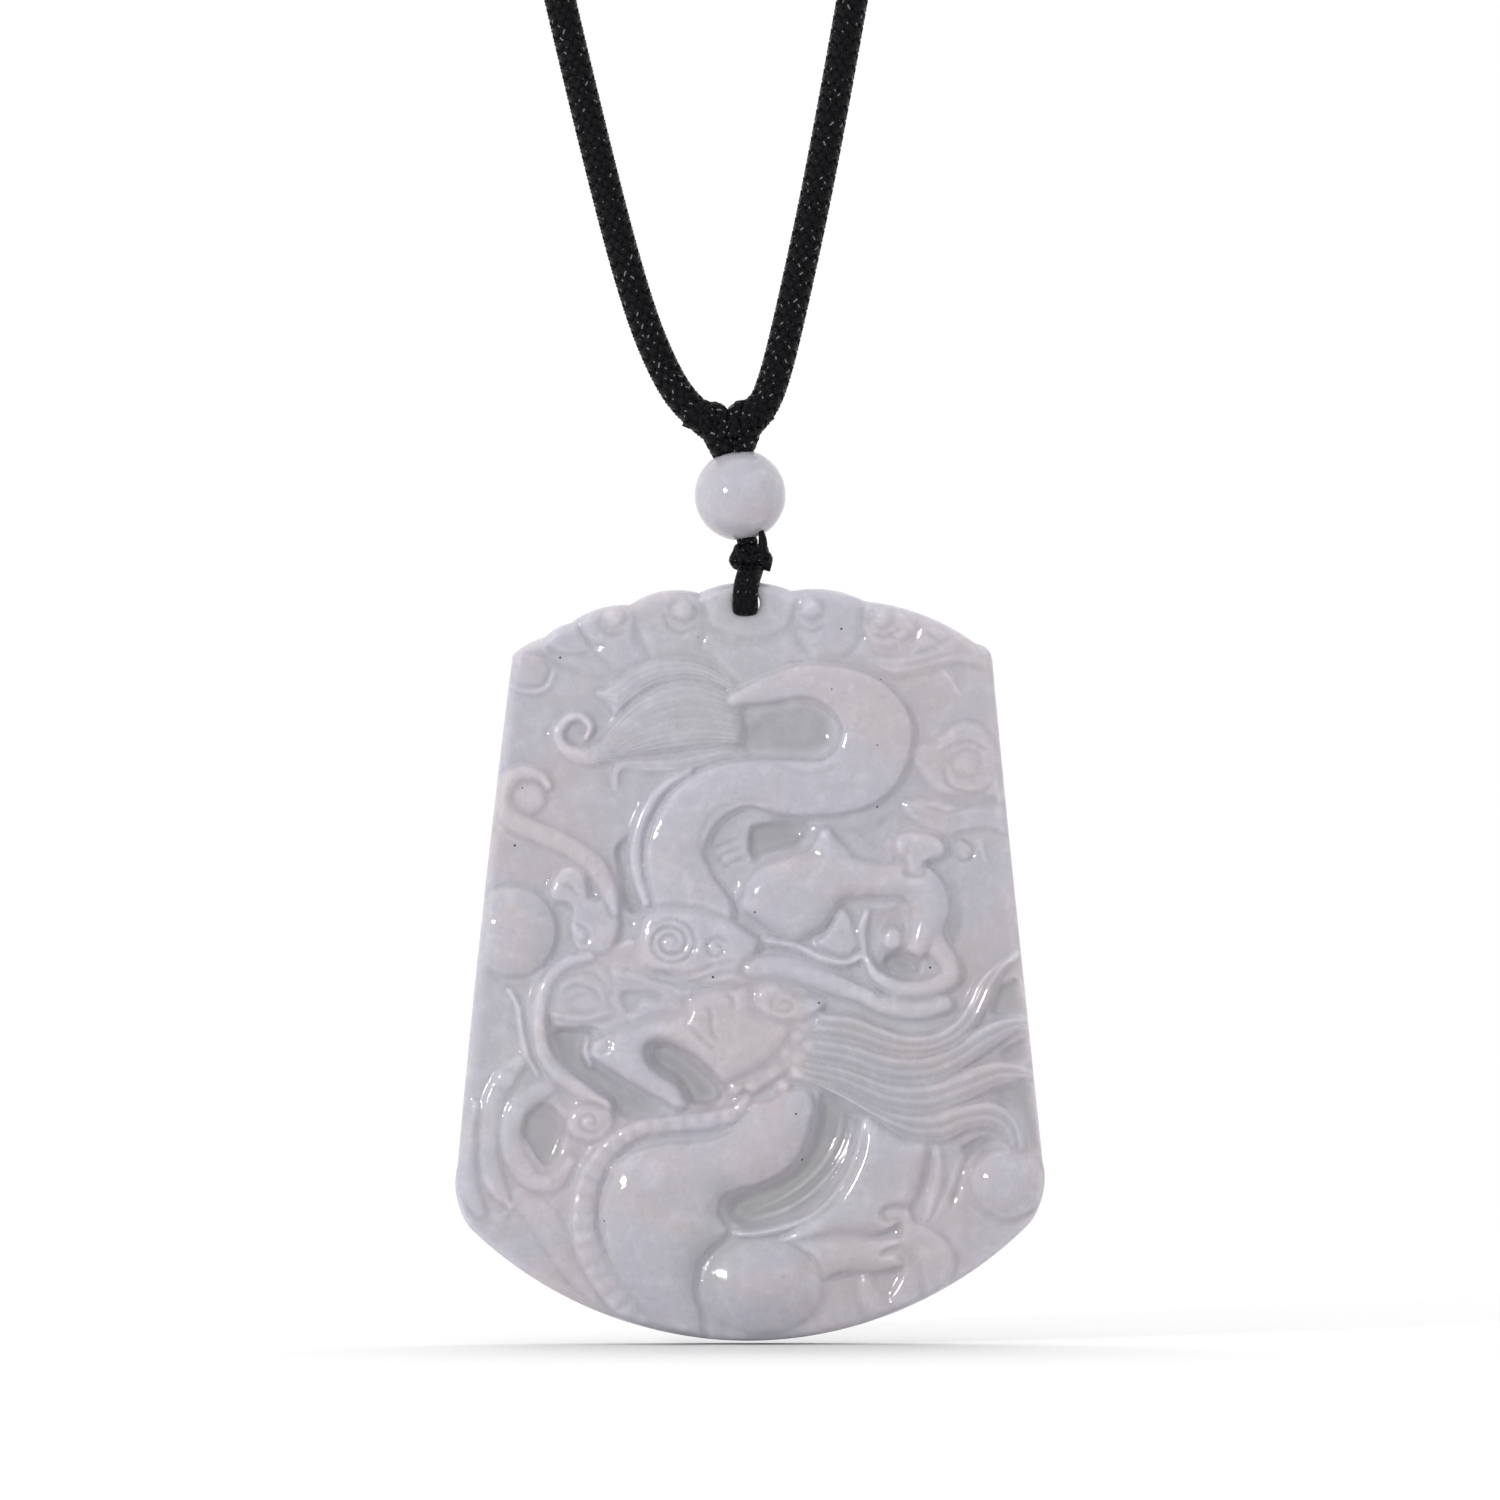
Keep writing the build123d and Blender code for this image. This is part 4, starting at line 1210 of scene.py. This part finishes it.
@dataclass
class Plaque(Part):
    """The carved jade plaque, with its relief, plain back and drilled hole."""

    width: float = 45.9 * MM
    height: float = 59.1 * MM
    slab: float = 2.6 * MM
    relief: float = 3.6 * MM
    back_round: float = 0.6 * MM
    back_turns: tuple[float, ...] = (0, 30, 60, 90)
    hole_radius: float = 1.06 * MM
    hole_edge: float = 0.1 * MM
    hole_slope: float = 0.03 * MM
    hole_margin: float = 0.6
    hole_place: Place = (746.2, 602.9)
    columns: int = 268
    rows: int = 344
    rim_round: float = 10.0
    rim_steps: int = 7
    rim_step: float = 0.4
    polish: int = 1
    # How wide and how strong the painted light in the creases is.
    painted_light_spread: int = 14
    painted_light_gain: float = 6.0
    painted_light_start: float = 0.12
    crease: float = 50.0

    def shares(self, count: int) -> Array:
        """Shares of a side for its corners, from 0 to 1 and closer together at both rims.

        Args:
            count: How many corners there are.

        Returns:
            The shares.
        """
        step = np.minimum(np.arange(count - 1), np.arange(count - 1)[::-1])
        widths = self.rim_step + (1 - self.rim_step) * np.minimum(1, step / self.rim_steps)
        shares = np.concatenate([[0], np.cumsum(widths)])
        return shares / shares[-1]

    def corners(self) -> tuple[Array, Array]:
        """Works out where the front's corners lie.

        Returns:
            Their columns and rows on the sheet, from the bottom row to the top one.
        """
        u, v = self.shares(self.columns), self.shares(self.rows)
        start, sides = LEFT_SHOULDER, []
        for side, shares in ((TOP_SIDE, u), (RIGHT_SIDE, 1 - v), (BOTTOM_SIDE, 1 - u), (LEFT_SIDE, v)):
            line = side_line(start, side)
            sides.append(points_at(line, shares * lengths_along(line)[-1]))
            start = places(side)[-1]
        top, right, bottom, left = sides
        u, v = u[None, :, None], v[:, None, None]
        spots = bottom[None] * (1 - v) + top[None] * v + left[:, None] * (1 - u) + right[:, None] * u
        spots -= bottom[0] * (1 - u) * (1 - v) + bottom[-1] * u * (1 - v)
        spots -= top[0] * (1 - u) * v + top[-1] * u * v
        return spots[..., 0], spots[..., 1]

    def to_metres(self, x: Array, y: Array, height: Array) -> Array:
        """Places in metres of places on the sheet.

        Args:
            x: Columns on the sheet.
            y: Rows on the sheet.
            height: Heights of the carving, as shares of the relief's depth.

        Returns:
            The places, one to a row.
        """
        low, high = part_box("plaque")
        across = (low[0] + high[0]) / 2 + (x - SHEET_MIDDLE[0]) / SHEET_ACROSS * self.width
        up = (low[2] + high[2]) / 2 + (SHEET_MIDDLE[1] - y) / SHEET_DOWN * self.height
        front = high[1] - self.slab - self.relief * height
        return np.column_stack([across.ravel(), front.ravel(), up.ravel()])

    def carve(self, x: Array, y: Array) -> tuple[Array, dict[str, Array]]:
        """Carves the front.

        Args:
            x: Columns of the corners.
            y: Rows of the corners.

        Returns:
            The corners' heights, and what the stone's finish reads there: how deep in a hollow each
            lies, for the painted shade, how deep in a crease, for the painted light, and the strands of
            hair.
        """
        carving = Carving(x.ravel(), y.ravel(), BED)
        for form in FORMS:
            LOG.debug("carving the %s", form.name)
            form.carve(carving)
        height = polished(carving.height, x.shape, self.polish)
        crease = polished(height, x.shape, self.painted_light_spread) - height
        rim = np.minimum.reduce([x - x[:, :1], x[:, -1:] - x, y[:1] - y, y - y[-1:]]).ravel()
        inward = np.clip(rim / self.rim_round, 0, 1)
        # painted shade in the hollows and painted light in the creases, both fading out at the rim
        marks = {"hollow": np.interp(height, PAINTED_SHADE_LEVELS, PAINTED_SHADE_SHARES) * inward,
                 "painted_crease_light": np.clip(crease * self.painted_light_gain - self.painted_light_start, 0, 1) * inward,
                 "strand": carving.strand, "strand_depth": carving.strand_depth}
        return RIM + (np.interp(height, LEVELS, DEPTHS) - RIM) * np.sqrt(1 - (1 - inward) ** 2), marks

    def ring(self, mesh: Mesh, edges: list[bmesh.types.BMEdge]) -> dict:
        """Adds a ring of faces along a border.

        Args:
            mesh: The mesh.
            edges: The border's edges.

        Returns:
            The old vertex of each new one.
        """
        made = bmesh.ops.extrude_edge_only(mesh, edges=edges)["geom"]
        fresh = {part for part in made if isinstance(part, bmesh.types.BMVert)}
        return {vertex: next(edge.other_vert(vertex) for edge in vertex.link_edges
                             if edge.other_vert(vertex) not in fresh) for vertex in fresh}

    def add_side(self, mesh: Mesh, back: float) -> None:
        """Adds the side wall and the round edge of the back.

        Args:
            mesh: The mesh, with the front alone.
            back: Where the back lies along Y.
        """
        border = open_edges(mesh)
        middle = Vector((0, 0, 0))
        for edge in border:
            middle += (edge.verts[0].co + edge.verts[1].co) / (2 * len(border))
        rim = {}
        for vertex in {vertex for edge in border for vertex in edge.verts}:
            sides = [edge for edge in vertex.link_edges if edge.is_boundary]
            along = sides[1].other_vert(vertex).co - sides[0].other_vert(vertex).co
            inward = Vector((along.z, 0, -along.x)).normalized()
            rim[vertex] = vertex.co.copy(), inward if inward.dot(middle - vertex.co) > 0 else -inward
        for angle in np.radians(self.back_turns):
            rim = {vertex: rim[old] for vertex, old in self.ring(mesh, border).items()}
            for vertex, (start, inward) in rim.items():
                vertex.co = start + inward * self.back_round * (1 - math.cos(angle))
                vertex.co.y = back - self.back_round * (1 - math.sin(angle))
            border = open_edges(mesh)

    def drill(self, mesh: Mesh, back: float) -> None:
        """Drills the hole through the boss.

        Args:
            mesh: The mesh, open at the back.
            back: Where the back lies along Y.
        """
        x, _, z = self.to_metres(*np.array([*self.hole_place, 0.0])[:, None])[0]

        def offset(vertex: bmesh.types.BMVert) -> float:
            """Distance of a vertex from the hole's axis."""
            return math.hypot(vertex.co.x - x, vertex.co.z - z)

        edge, slope = self.hole_edge, self.hole_slope
        reach = self.hole_radius + edge + self.hole_margin * self.width / self.columns
        chosen = [vertex for vertex in mesh.verts if offset(vertex) < reach]
        bmesh.ops.delete(mesh, geom=chosen, context="VERTS")
        border = [part for part in open_edges(mesh) if offset(part.verts[0]) < 2 * reach]
        face = min(vertex.co.y for part in border for vertex in part.verts)
        wider = (edge, slope, 0, 0, slope, edge)
        levels = (None, face + slope, face + edge, back - edge, back - slope, back)
        for wide, level in zip(wider, levels):
            for vertex in self.ring(mesh, border):
                scale = (self.hole_radius + wide) / offset(vertex)
                vertex.co.x = x + (vertex.co.x - x) * scale
                vertex.co.z = z + (vertex.co.z - z) * scale
                if level is not None:
                    vertex.co.y = level
            border = [part for part in open_edges(mesh) if offset(part.verts[0]) < 2 * reach]

    def build(self) -> None:
        """Builds the plaque."""
        x, y = self.corners()
        height, marks = self.carve(x, y)
        spots = self.to_metres(x, y, height)
        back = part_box("plaque")[1][1]
        mesh = bmesh.new()
        bmesh.ops.create_grid(mesh, x_segments=self.columns - 1, y_segments=self.rows - 1, size=1)
        layers = {name: mesh.verts.layers.float.new(name) for name in marks}
        for k, vertex in enumerate(mesh.verts):
            vertex.co = spots[k]
            for name, layer in layers.items():
                vertex[layer] = marks[name][k]
        self.add_side(mesh, back)
        self.drill(mesh, back)
        bmesh.ops.triangle_fill(mesh, use_beauty=True, edges=open_edges(mesh), normal=(0, 1, 0))
        bmesh.ops.recalc_face_normals(mesh, faces=mesh.faces[:])
        add_piece(mesh, "carved_plaque", self.material, STONE_BODY, ["plaque"], self.crease)


# Cords


def curve_points(name: str, points: Sequence[Spot]) -> tuple[bpy.types.Curve, Array]:
    """A smooth curve on some control points, and the points along it.

    Args:
        name: The curve's name.
        points: Its control points in metres.

    Returns:
        The curve and its points.
    """
    curve = bpy.data.curves.new(name, "CURVE")
    curve.dimensions = "3D"
    curve.resolution_u = 24
    spline = curve.splines.new("NURBS")
    spline.points.add(len(points) - 1)
    for control, place in zip(spline.points, points):
        control.co = (*place, 1.0)
    spline.order_u = 3
    spline.use_endpoint_u = True
    holder = bpy.data.objects.new(name + "_reading", curve)
    mesh = bpy.data.meshes.new_from_object(holder)
    line = np.array([vertex.co for vertex in mesh.vertices])
    bpy.data.objects.remove(holder)
    bpy.data.meshes.remove(mesh)
    return curve, line


def from_middle(middle: Spot, spots: Sequence[Spot] | Array) -> Array:
    """The places in metres of spots given in millimetres from a middle."""
    return np.array(middle) + np.array(spots) * MM


class Winding(Enum):
    """Which way a strand winds round its plait."""

    RIGHT = 1
    LEFT = -1


@dataclass(frozen=True)
class Plait:
    """A round plait: flat strands that wind both ways round a core, over one and under one."""

    radius: float
    strands: int
    lead: float
    half_width: float
    half_thickness: float
    steps: int = 2
    sides: int = 4
    dip: float = 0.45

    def lines(self, line: Array) -> list[tuple[Array, Array]]:
        """The middle line and outward direction of every strand.

        Args:
            line: The plait's own middle line.

        Returns:
            A line and its directions for each strand.
        """
        step = self.lead / (2 * self.strands * self.steps)
        line = even_line(line, step)
        side, other = frames_along(line)
        along = np.arange(len(line)) * step
        dip = self.dip * self.half_thickness
        middle = self.radius - self.half_thickness - dip
        made = []
        for winding in Winding:
            radius = middle + winding.value * dip * np.cos(2 * math.pi * self.strands / self.lead * along)
            for k in range(self.strands):
                angle = winding.value * 2 * math.pi * along / self.lead + 2 * math.pi * k / self.strands
                outward = side * np.cos(angle)[:, None] + other * np.sin(angle)[:, None]
                made.append((line + outward * radius[:, None], outward))
        return made

    def add(self, mesh: Mesh, strands: Sequence[tuple[Array, Array]]) -> None:
        """Adds some of the plait's strands to a mesh."""
        for strand, outward in strands:
            add_tube(mesh, strand, outward, self.half_width, self.half_thickness, self.sides)


@dataclass
class NeckCord(Part):
    """The braided neck cord, one whole loop from lobe to lobe of the wrap."""

    diameter: float = 2.6 * MM
    loop_width: float = 117.0 * MM
    drop: float = 267.34 * MM
    forward: float = 105.0 * MM
    wrap_side: float = -1.55 * MM
    pieces: int = 3
    core_share: float = 0.62

    LEFT_END = [(-0.46, -0.02), (-1.13, 0.48), (-1.87, 1.44)]
    CORNERS = [
        (-0.1504, 0.996, 0.9647), (-0.2051, 0.983, 0.9198), (-0.2974, 0.948, 0.8341),
        (-0.4701, 0.852, 0.6733), (-0.6667, 0.733, 0.49), (-0.8632, 0.605, 0.3142),
        (-1.0, 0.457, 0.1683), (-0.9231, 0.238, 0.0673), (-0.6325, 0.067, 0.015), (-0.2393, 0.0, 0.0),
        (0.2393, 0.0, 0.0), (0.6325, 0.067, 0.015), (0.9231, 0.238, 0.0673), (1.0, 0.457, 0.1683),
        (0.812, 0.605, 0.3142), (0.5641, 0.733, 0.49), (0.3333, 0.852, 0.6733),
        (0.1692, 0.948, 0.8341), (0.1, 0.983, 0.9198), (0.0564, 0.996, 0.9647),
    ]
    RIGHT_END = [(1.27, 1.21), (0.81, 0.36), (0.4, -0.02)]

    def route(self) -> list[Spot]:
        """Works out the cord's route.

        Returns:
            The route's points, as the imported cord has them, in metres.
        """
        ends = [[(self.wrap_side + side * self.diameter, -self.forward, rise * self.diameter - self.drop)
                 for side, rise in end] for end in (self.LEFT_END, self.RIGHT_END)]
        loop = [(side * self.loop_width / 2, -forward * self.forward, -down * self.drop)
                for side, forward, down in self.CORNERS]
        return ends[0] + loop + ends[1]

    def build(self) -> None:
        """Builds the cord."""
        curve, line = curve_points("neck_cord_core", self.route())
        plait = Plait(radius=self.diameter / 2, strands=9, lead=9.83 * MM, half_width=0.48 * MM,
                      half_thickness=0.24 * MM)
        strands = plait.lines(line)
        share = math.ceil(len(strands) / self.pieces)
        for part in range(self.pieces):
            mesh = bmesh.new()
            plait.add(mesh, strands[part * share:(part + 1) * share])
            nodes = ["neck_cord"] if part == 0 else []
            add_cord_piece(mesh, f"neck_cord_strands_{part + 1}", self.material, nodes)
        curve.bevel_depth = self.core_share * self.diameter / 2
        curve.bevel_resolution = 2
        curve.resolution_u = 12
        curve.use_fill_caps = True
        curve.materials.append(self.material)
        core = link("neck_cord_core", curve)
        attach(core, CORD_BODY)


# A thin cord's sizes, as shares of its radius.
THIN_LEAD = 6.4
THIN_STRAND = 0.62
THIN_STRAND_DEEP = 0.22
THIN_CORE = 0.8
THIN_STEP = 0.3


def wind(mesh: Mesh, line: Array, radius: float) -> None:
    """Adds a thin plaited cord.

    Args:
        mesh: The mesh.
        line: The points of its middle line.
        radius: Its radius.
    """
    plait = Plait(radius, strands=5, lead=THIN_LEAD * radius, half_width=THIN_STRAND * radius,
                  half_thickness=THIN_STRAND_DEEP * radius, steps=3)
    plait.add(mesh, plait.lines(line))
    add_rod(mesh, even_line(line, THIN_STEP * radius), THIN_CORE * radius, sides=10)


@dataclass
class Wrap(Part):
    """The knotted join over the bead: two plump plaited lobes that narrow to a foot, and two folds.

    The places of the lobes and the folds are in millimetres from the wrap's middle.
    """

    middle: Spot = (-1.55 * MM, -105.0 * MM, -267.34 * MM)
    lobe_radius: float = 1.36 * MM
    lobe_step: float = 0.2 * MM
    core_share: float = 0.85
    fold_radius: float = 0.75 * MM

    LOBES = (
        ((-3.0, 0, 1.25), (-2.1, 0.1, 0.9), (-1.3, 0.1, 0.35), (-0.8, 0, -0.6), (-0.1, 0, -1.9)),
        ((2.5, 0, 1.6), (1.8, 0, 1.1), (1.2, 0, 0.45), (1.0, 0, -0.6), (0.45, 0, -1.9)),
    )
    FOLDS = (
        ((-1.9, -0.9, -0.2), (-1.75, -0.4, 1.1), (-1.05, 0, 1.45), (-0.4, -0.5, 0.6), (-0.5, -1.0, -0.8)),
        ((1.9, -0.9, 0.0), (1.75, -0.4, 1.2), (0.95, 0, 1.65), (0.15, -0.6, 0.8), (0.4, -1.1, -0.8)),
    )

    def build(self) -> None:
        """Builds the wrap."""
        mesh = bmesh.new()
        lobe = Plait(self.lobe_radius, strands=8, lead=8.2 * MM, half_width=0.6 * MM,
                     half_thickness=0.22 * MM, steps=3)
        for spots in self.LOBES:
            _, line = curve_points("lobe_line", from_middle(self.middle, spots))
            lobe.add(mesh, lobe.lines(line))
            add_rod(mesh, even_line(line, self.lobe_step), self.core_share * self.lobe_radius, sides=12)
        for spots in self.FOLDS:
            _, line = curve_points("fold_line", from_middle(self.middle, spots))
            wind(mesh, line, self.fold_radius)
        add_cord_piece(mesh, "wrap_over_bead", self.material, ["cord_wrap"])


@dataclass
class HangingLoop(Part):
    """The doubled thin cord through the plaque's hole, its knot and its cut tails.

    All but the hole's own place is in millimetres, and places are counted from the hole's middle.
    """

    hole: Spot = (-0.3 * MM, -105.0 * MM, -281.0 * MM)
    leg: float = 3.2
    strands: tuple[tuple[float, float], ...] = ((-0.5, 0.58), (-0.08, 0.62), (0.35, 0.6))
    loop_low: float = 1.02
    knot_side: float = 0.37
    knot_above: float = 3.58
    knot_wide: float = 1.24
    knot_tall: float = 0.78
    knot_core: float = 1.45
    knot_strand: float = 0.5
    knot_steps: int = 170
    knot_turns: int = 3
    knot_waves: int = 4
    knot_rise: float = 0.85
    knot_waist: float = 0.8
    knot_ripple: float = 0.06
    core_half: float = 0.9
    core_bulge: float = 0.85
    core_rings: int = 13
    tail_step: float = 0.1

    def build(self) -> None:
        """Builds the loop and the knot."""
        mesh = bmesh.new()
        leg = self.leg
        for side, radius in self.strands:
            low = radius - self.loop_low
            half = [(side + 0.5, -0.4, 3.0), (side + 0.4, -1.5, 2.5), (side + 0.15, -leg * 0.9, 1.8),
                    (side, -leg, 0.8), (side, -leg, low - 0.1), (side, -leg * 0.62, low), (side, -0.4, 0)]
            spots = half + [(x, -y, z) for x, y, z in half[::-1]]
            wind(mesh, curve_points("loop_line", from_middle(self.hole, spots))[1], radius * MM)
        add_cord_piece(mesh, "loop_strands", self.material, ["hanging_loop"])
        self.build_knot()

    def build_knot(self) -> None:
        """Builds the small knot over the loop, with its tails."""
        mesh = bmesh.new()
        x, z = self.knot_side, self.knot_above
        turn = np.linspace(0, 2 * math.pi, self.knot_steps)
        rise = self.knot_rise * np.cos(self.knot_waves * turn)
        wide = self.knot_wide * np.sqrt(1 - self.knot_waist * rise**2)
        wide += self.knot_ripple * np.sin(2 * self.knot_waves * turn)
        round_turn = self.knot_turns * turn
        ball = np.column_stack([x + wide * np.cos(round_turn), wide * np.sin(round_turn),
                                z + self.knot_tall * rise])
        wind(mesh, from_middle(self.hole, ball), self.knot_strand * MM)
        steps = np.linspace(-self.core_half, self.core_half, self.core_rings)
        bulge = np.sqrt(1 - np.linspace(-self.core_bulge, self.core_bulge, self.core_rings) ** 2)
        core = from_middle(self.hole, [(x, 0, z + step) for step in steps])
        add_rod(mesh, core, self.knot_core * MM * bulge, sides=16)
        for start, end, tail in (
            (0.4, 0.2, [(1.2, -0.9, z + 0.3), (1.42, -1.2, z + 1.1), (1.15, -1.3, z + 2.05)]),
            (0.42, 0.36, [(1.0, -0.9, z - 0.3), (1.5, -1.0, z - 0.7), (1.95, -1.0, z - 0.8)]),
        ):
            line = even_line(curve_points("tail_line", from_middle(self.hole, tail))[1], self.tail_step * MM)
            radius = (start + (end - start) * np.linspace(0, 1, len(line)) ** 2) * MM
            add_rod(mesh, line, radius, sides=12)
        add_cord_piece(mesh, "small_knot_turns", self.material, ["small_knot"])


@dataclass
class Bead(Part):
    """The round drilled bead and the cord through it, from the knot's top to the wrap's middle."""

    cord: Material
    radius: float = 3.55 * MM
    bore: float = 0.95 * MM
    lip: float = 0.12 * MM
    around: int = 128
    rings: int = 64
    crease: float = 50.0
    thread_radius: float = 0.84 * MM
    thread_core: float = 0.66 * MM
    thread_span: tuple[float, float] = (0.06, 0.9)
    thread_steps: int = 40
    knot_top: Spot = (-0.05, -105.0, -277.37)
    wrap_middle: Spot = (-1.55, -105.0, -267.34)

    def build(self) -> None:
        """Builds the bead and its cord."""
        low, high = (Vector(corner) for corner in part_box("bead"))
        middle = (low + high) / 2
        foot, head = Vector(self.knot_top) * MM, Vector(self.wrap_middle) * MM
        axis = (head - foot).normalized()
        start = math.asin((self.bore + self.lip) / self.radius)
        angles = np.linspace(start, math.pi - start, self.rings)
        side = Vector((0, -1, 0))
        profile = [axis * (self.radius * math.cos(a)) + side * (self.radius * math.sin(a)) for a in angles]
        depth = self.radius * math.cos(start) - self.lip
        profile = [axis * depth + side * self.bore] + profile + [side * self.bore - axis * depth]
        mesh = bmesh.new()
        vertices = [mesh.verts.new(middle + place) for place in profile]
        edges = [mesh.edges.new(pair) for pair in zip(vertices, vertices[1:] + vertices[:1])]
        bmesh.ops.spin(mesh, geom=vertices + edges, cent=middle, axis=axis, angle=2 * math.pi,
                       steps=self.around, use_merge=True)
        bmesh.ops.remove_doubles(mesh, verts=mesh.verts[:], dist=SAME_PLACE)
        bmesh.ops.recalc_face_normals(mesh, faces=mesh.faces[:])
        add_piece(mesh, "polished_bead", self.material, CORD_BODY, ["bead"], self.crease)
        thread = bmesh.new()
        shares = np.linspace(*self.thread_span, self.thread_steps)
        line = np.array([foot + (head - foot) * share for share in shares])
        plait = Plait(self.thread_radius, strands=5, lead=5.2 * MM, half_width=0.4 * MM,
                      half_thickness=0.14 * MM, steps=3, sides=6)
        plait.add(thread, plait.lines(line))
        add_rod(thread, line, self.thread_core, sides=12)
        add_cord_piece(thread, "cord_through_bead", self.cord, ["bead_thread"])


# The studio


@dataclass(frozen=True)
class Lamp:
    """A soft lamp that faces the plaque's middle, at angles in degrees from its front."""

    name: str
    azimuth: float
    elevation: float
    distance: float
    width: float
    height: float
    power: float
    mirrored: bool = True

    def build(self, target: Vector) -> None:
        """Places the lamp.

        Args:
            target: The place that it faces.
        """
        data = bpy.data.lights.new(self.name, "AREA")
        data.shape = "RECTANGLE"
        data.size, data.size_y = self.width, self.height
        data.energy = self.power
        a, e = math.radians(self.azimuth), math.radians(self.elevation)
        away = Vector((math.sin(a) * math.cos(e), -math.cos(a) * math.cos(e), math.sin(e)))
        lamp = link(self.name, data)
        lamp.location = target + away * self.distance
        lamp.rotation_euler = away.to_track_quat("Z", "Y").to_euler()
        lamp.visible_glossy = self.mirrored


@dataclass
class Studio:
    """The camera, the floor and the light."""

    view_width: float = 117.0 * MM
    view_middle: Spot = (0.0, -105.0 * MM, -292.46 * MM)
    plaque_middle: Spot = (0.0, -105.0 * MM, -309.0 * MM)
    distance: float = 1.15
    sensor: float = 36.0
    clip: tuple[float, float] = (0.05, 50.0)
    floor_gap: float = 0.3 * MM
    floor_radius: float = 0.27
    sky: float = 1.0
    lamps: tuple[Lamp, ...] = (
        Lamp("key lamp", -39, 14, 0.7, 0.06, 0.07, 1.7),
        Lamp("overhead lamp", 0, 90, 1.3, 2.4, 0.7, 1.8, mirrored=False),
        Lamp("back lamp", 180, 62, 2.0, 3.2, 0.9, 19.0, mirrored=False),
    )

    def build(self) -> None:
        """Sets up the studio."""
        scene = bpy.context.scene
        scene.view_settings.view_transform = "Standard"
        data = bpy.data.cameras.new("camera")
        data.sensor_width = self.sensor
        data.lens = self.sensor * self.distance / self.view_width
        data.clip_start, data.clip_end = self.clip
        camera = link("camera", data)
        camera.location = Vector(self.view_middle) + Vector((0, -self.distance, 0))
        camera.rotation_euler = (math.radians(90), 0, 0)
        scene.camera = camera
        world = bpy.data.worlds.new("soft surround")
        world.use_nodes = True
        background = next(node for node in world.node_tree.nodes if node.type == "BACKGROUND")
        background.inputs["Color"].default_value = (1, 1, 1, 1)
        background.inputs["Strength"].default_value = self.sky
        scene.world = world
        for lamp in self.lamps:
            lamp.build(Vector(self.plaque_middle))
        self.build_floor()

    def build_floor(self) -> None:
        """Lays the plain floor under the plaque."""
        mesh = bmesh.new()
        bmesh.ops.create_circle(mesh, cap_ends=True, segments=96, radius=self.floor_radius)
        place = (0, self.view_middle[1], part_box("plaque")[0][2] - self.floor_gap)
        bmesh.ops.translate(mesh, verts=mesh.verts[:], vec=place)
        floor = link("floor", to_data(mesh, "floor", PlainFinish("plain floor").material()))


def main() -> None:
    """Builds the pendant and its studio."""
    logging.basicConfig(level=logging.INFO, format="%(message)s")
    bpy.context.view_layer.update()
    Studio().build()
    cord = CordFinish("black cord").material()
    parts = (NeckCord(cord), Wrap(cord), HangingLoop(cord), Bead(JadeFinish("bead jade").material(), cord),
             Plaque(JadeFinish("plaque jade").material()))
    for part in parts:
        part.build()


if __name__ == "__main__":
    main()
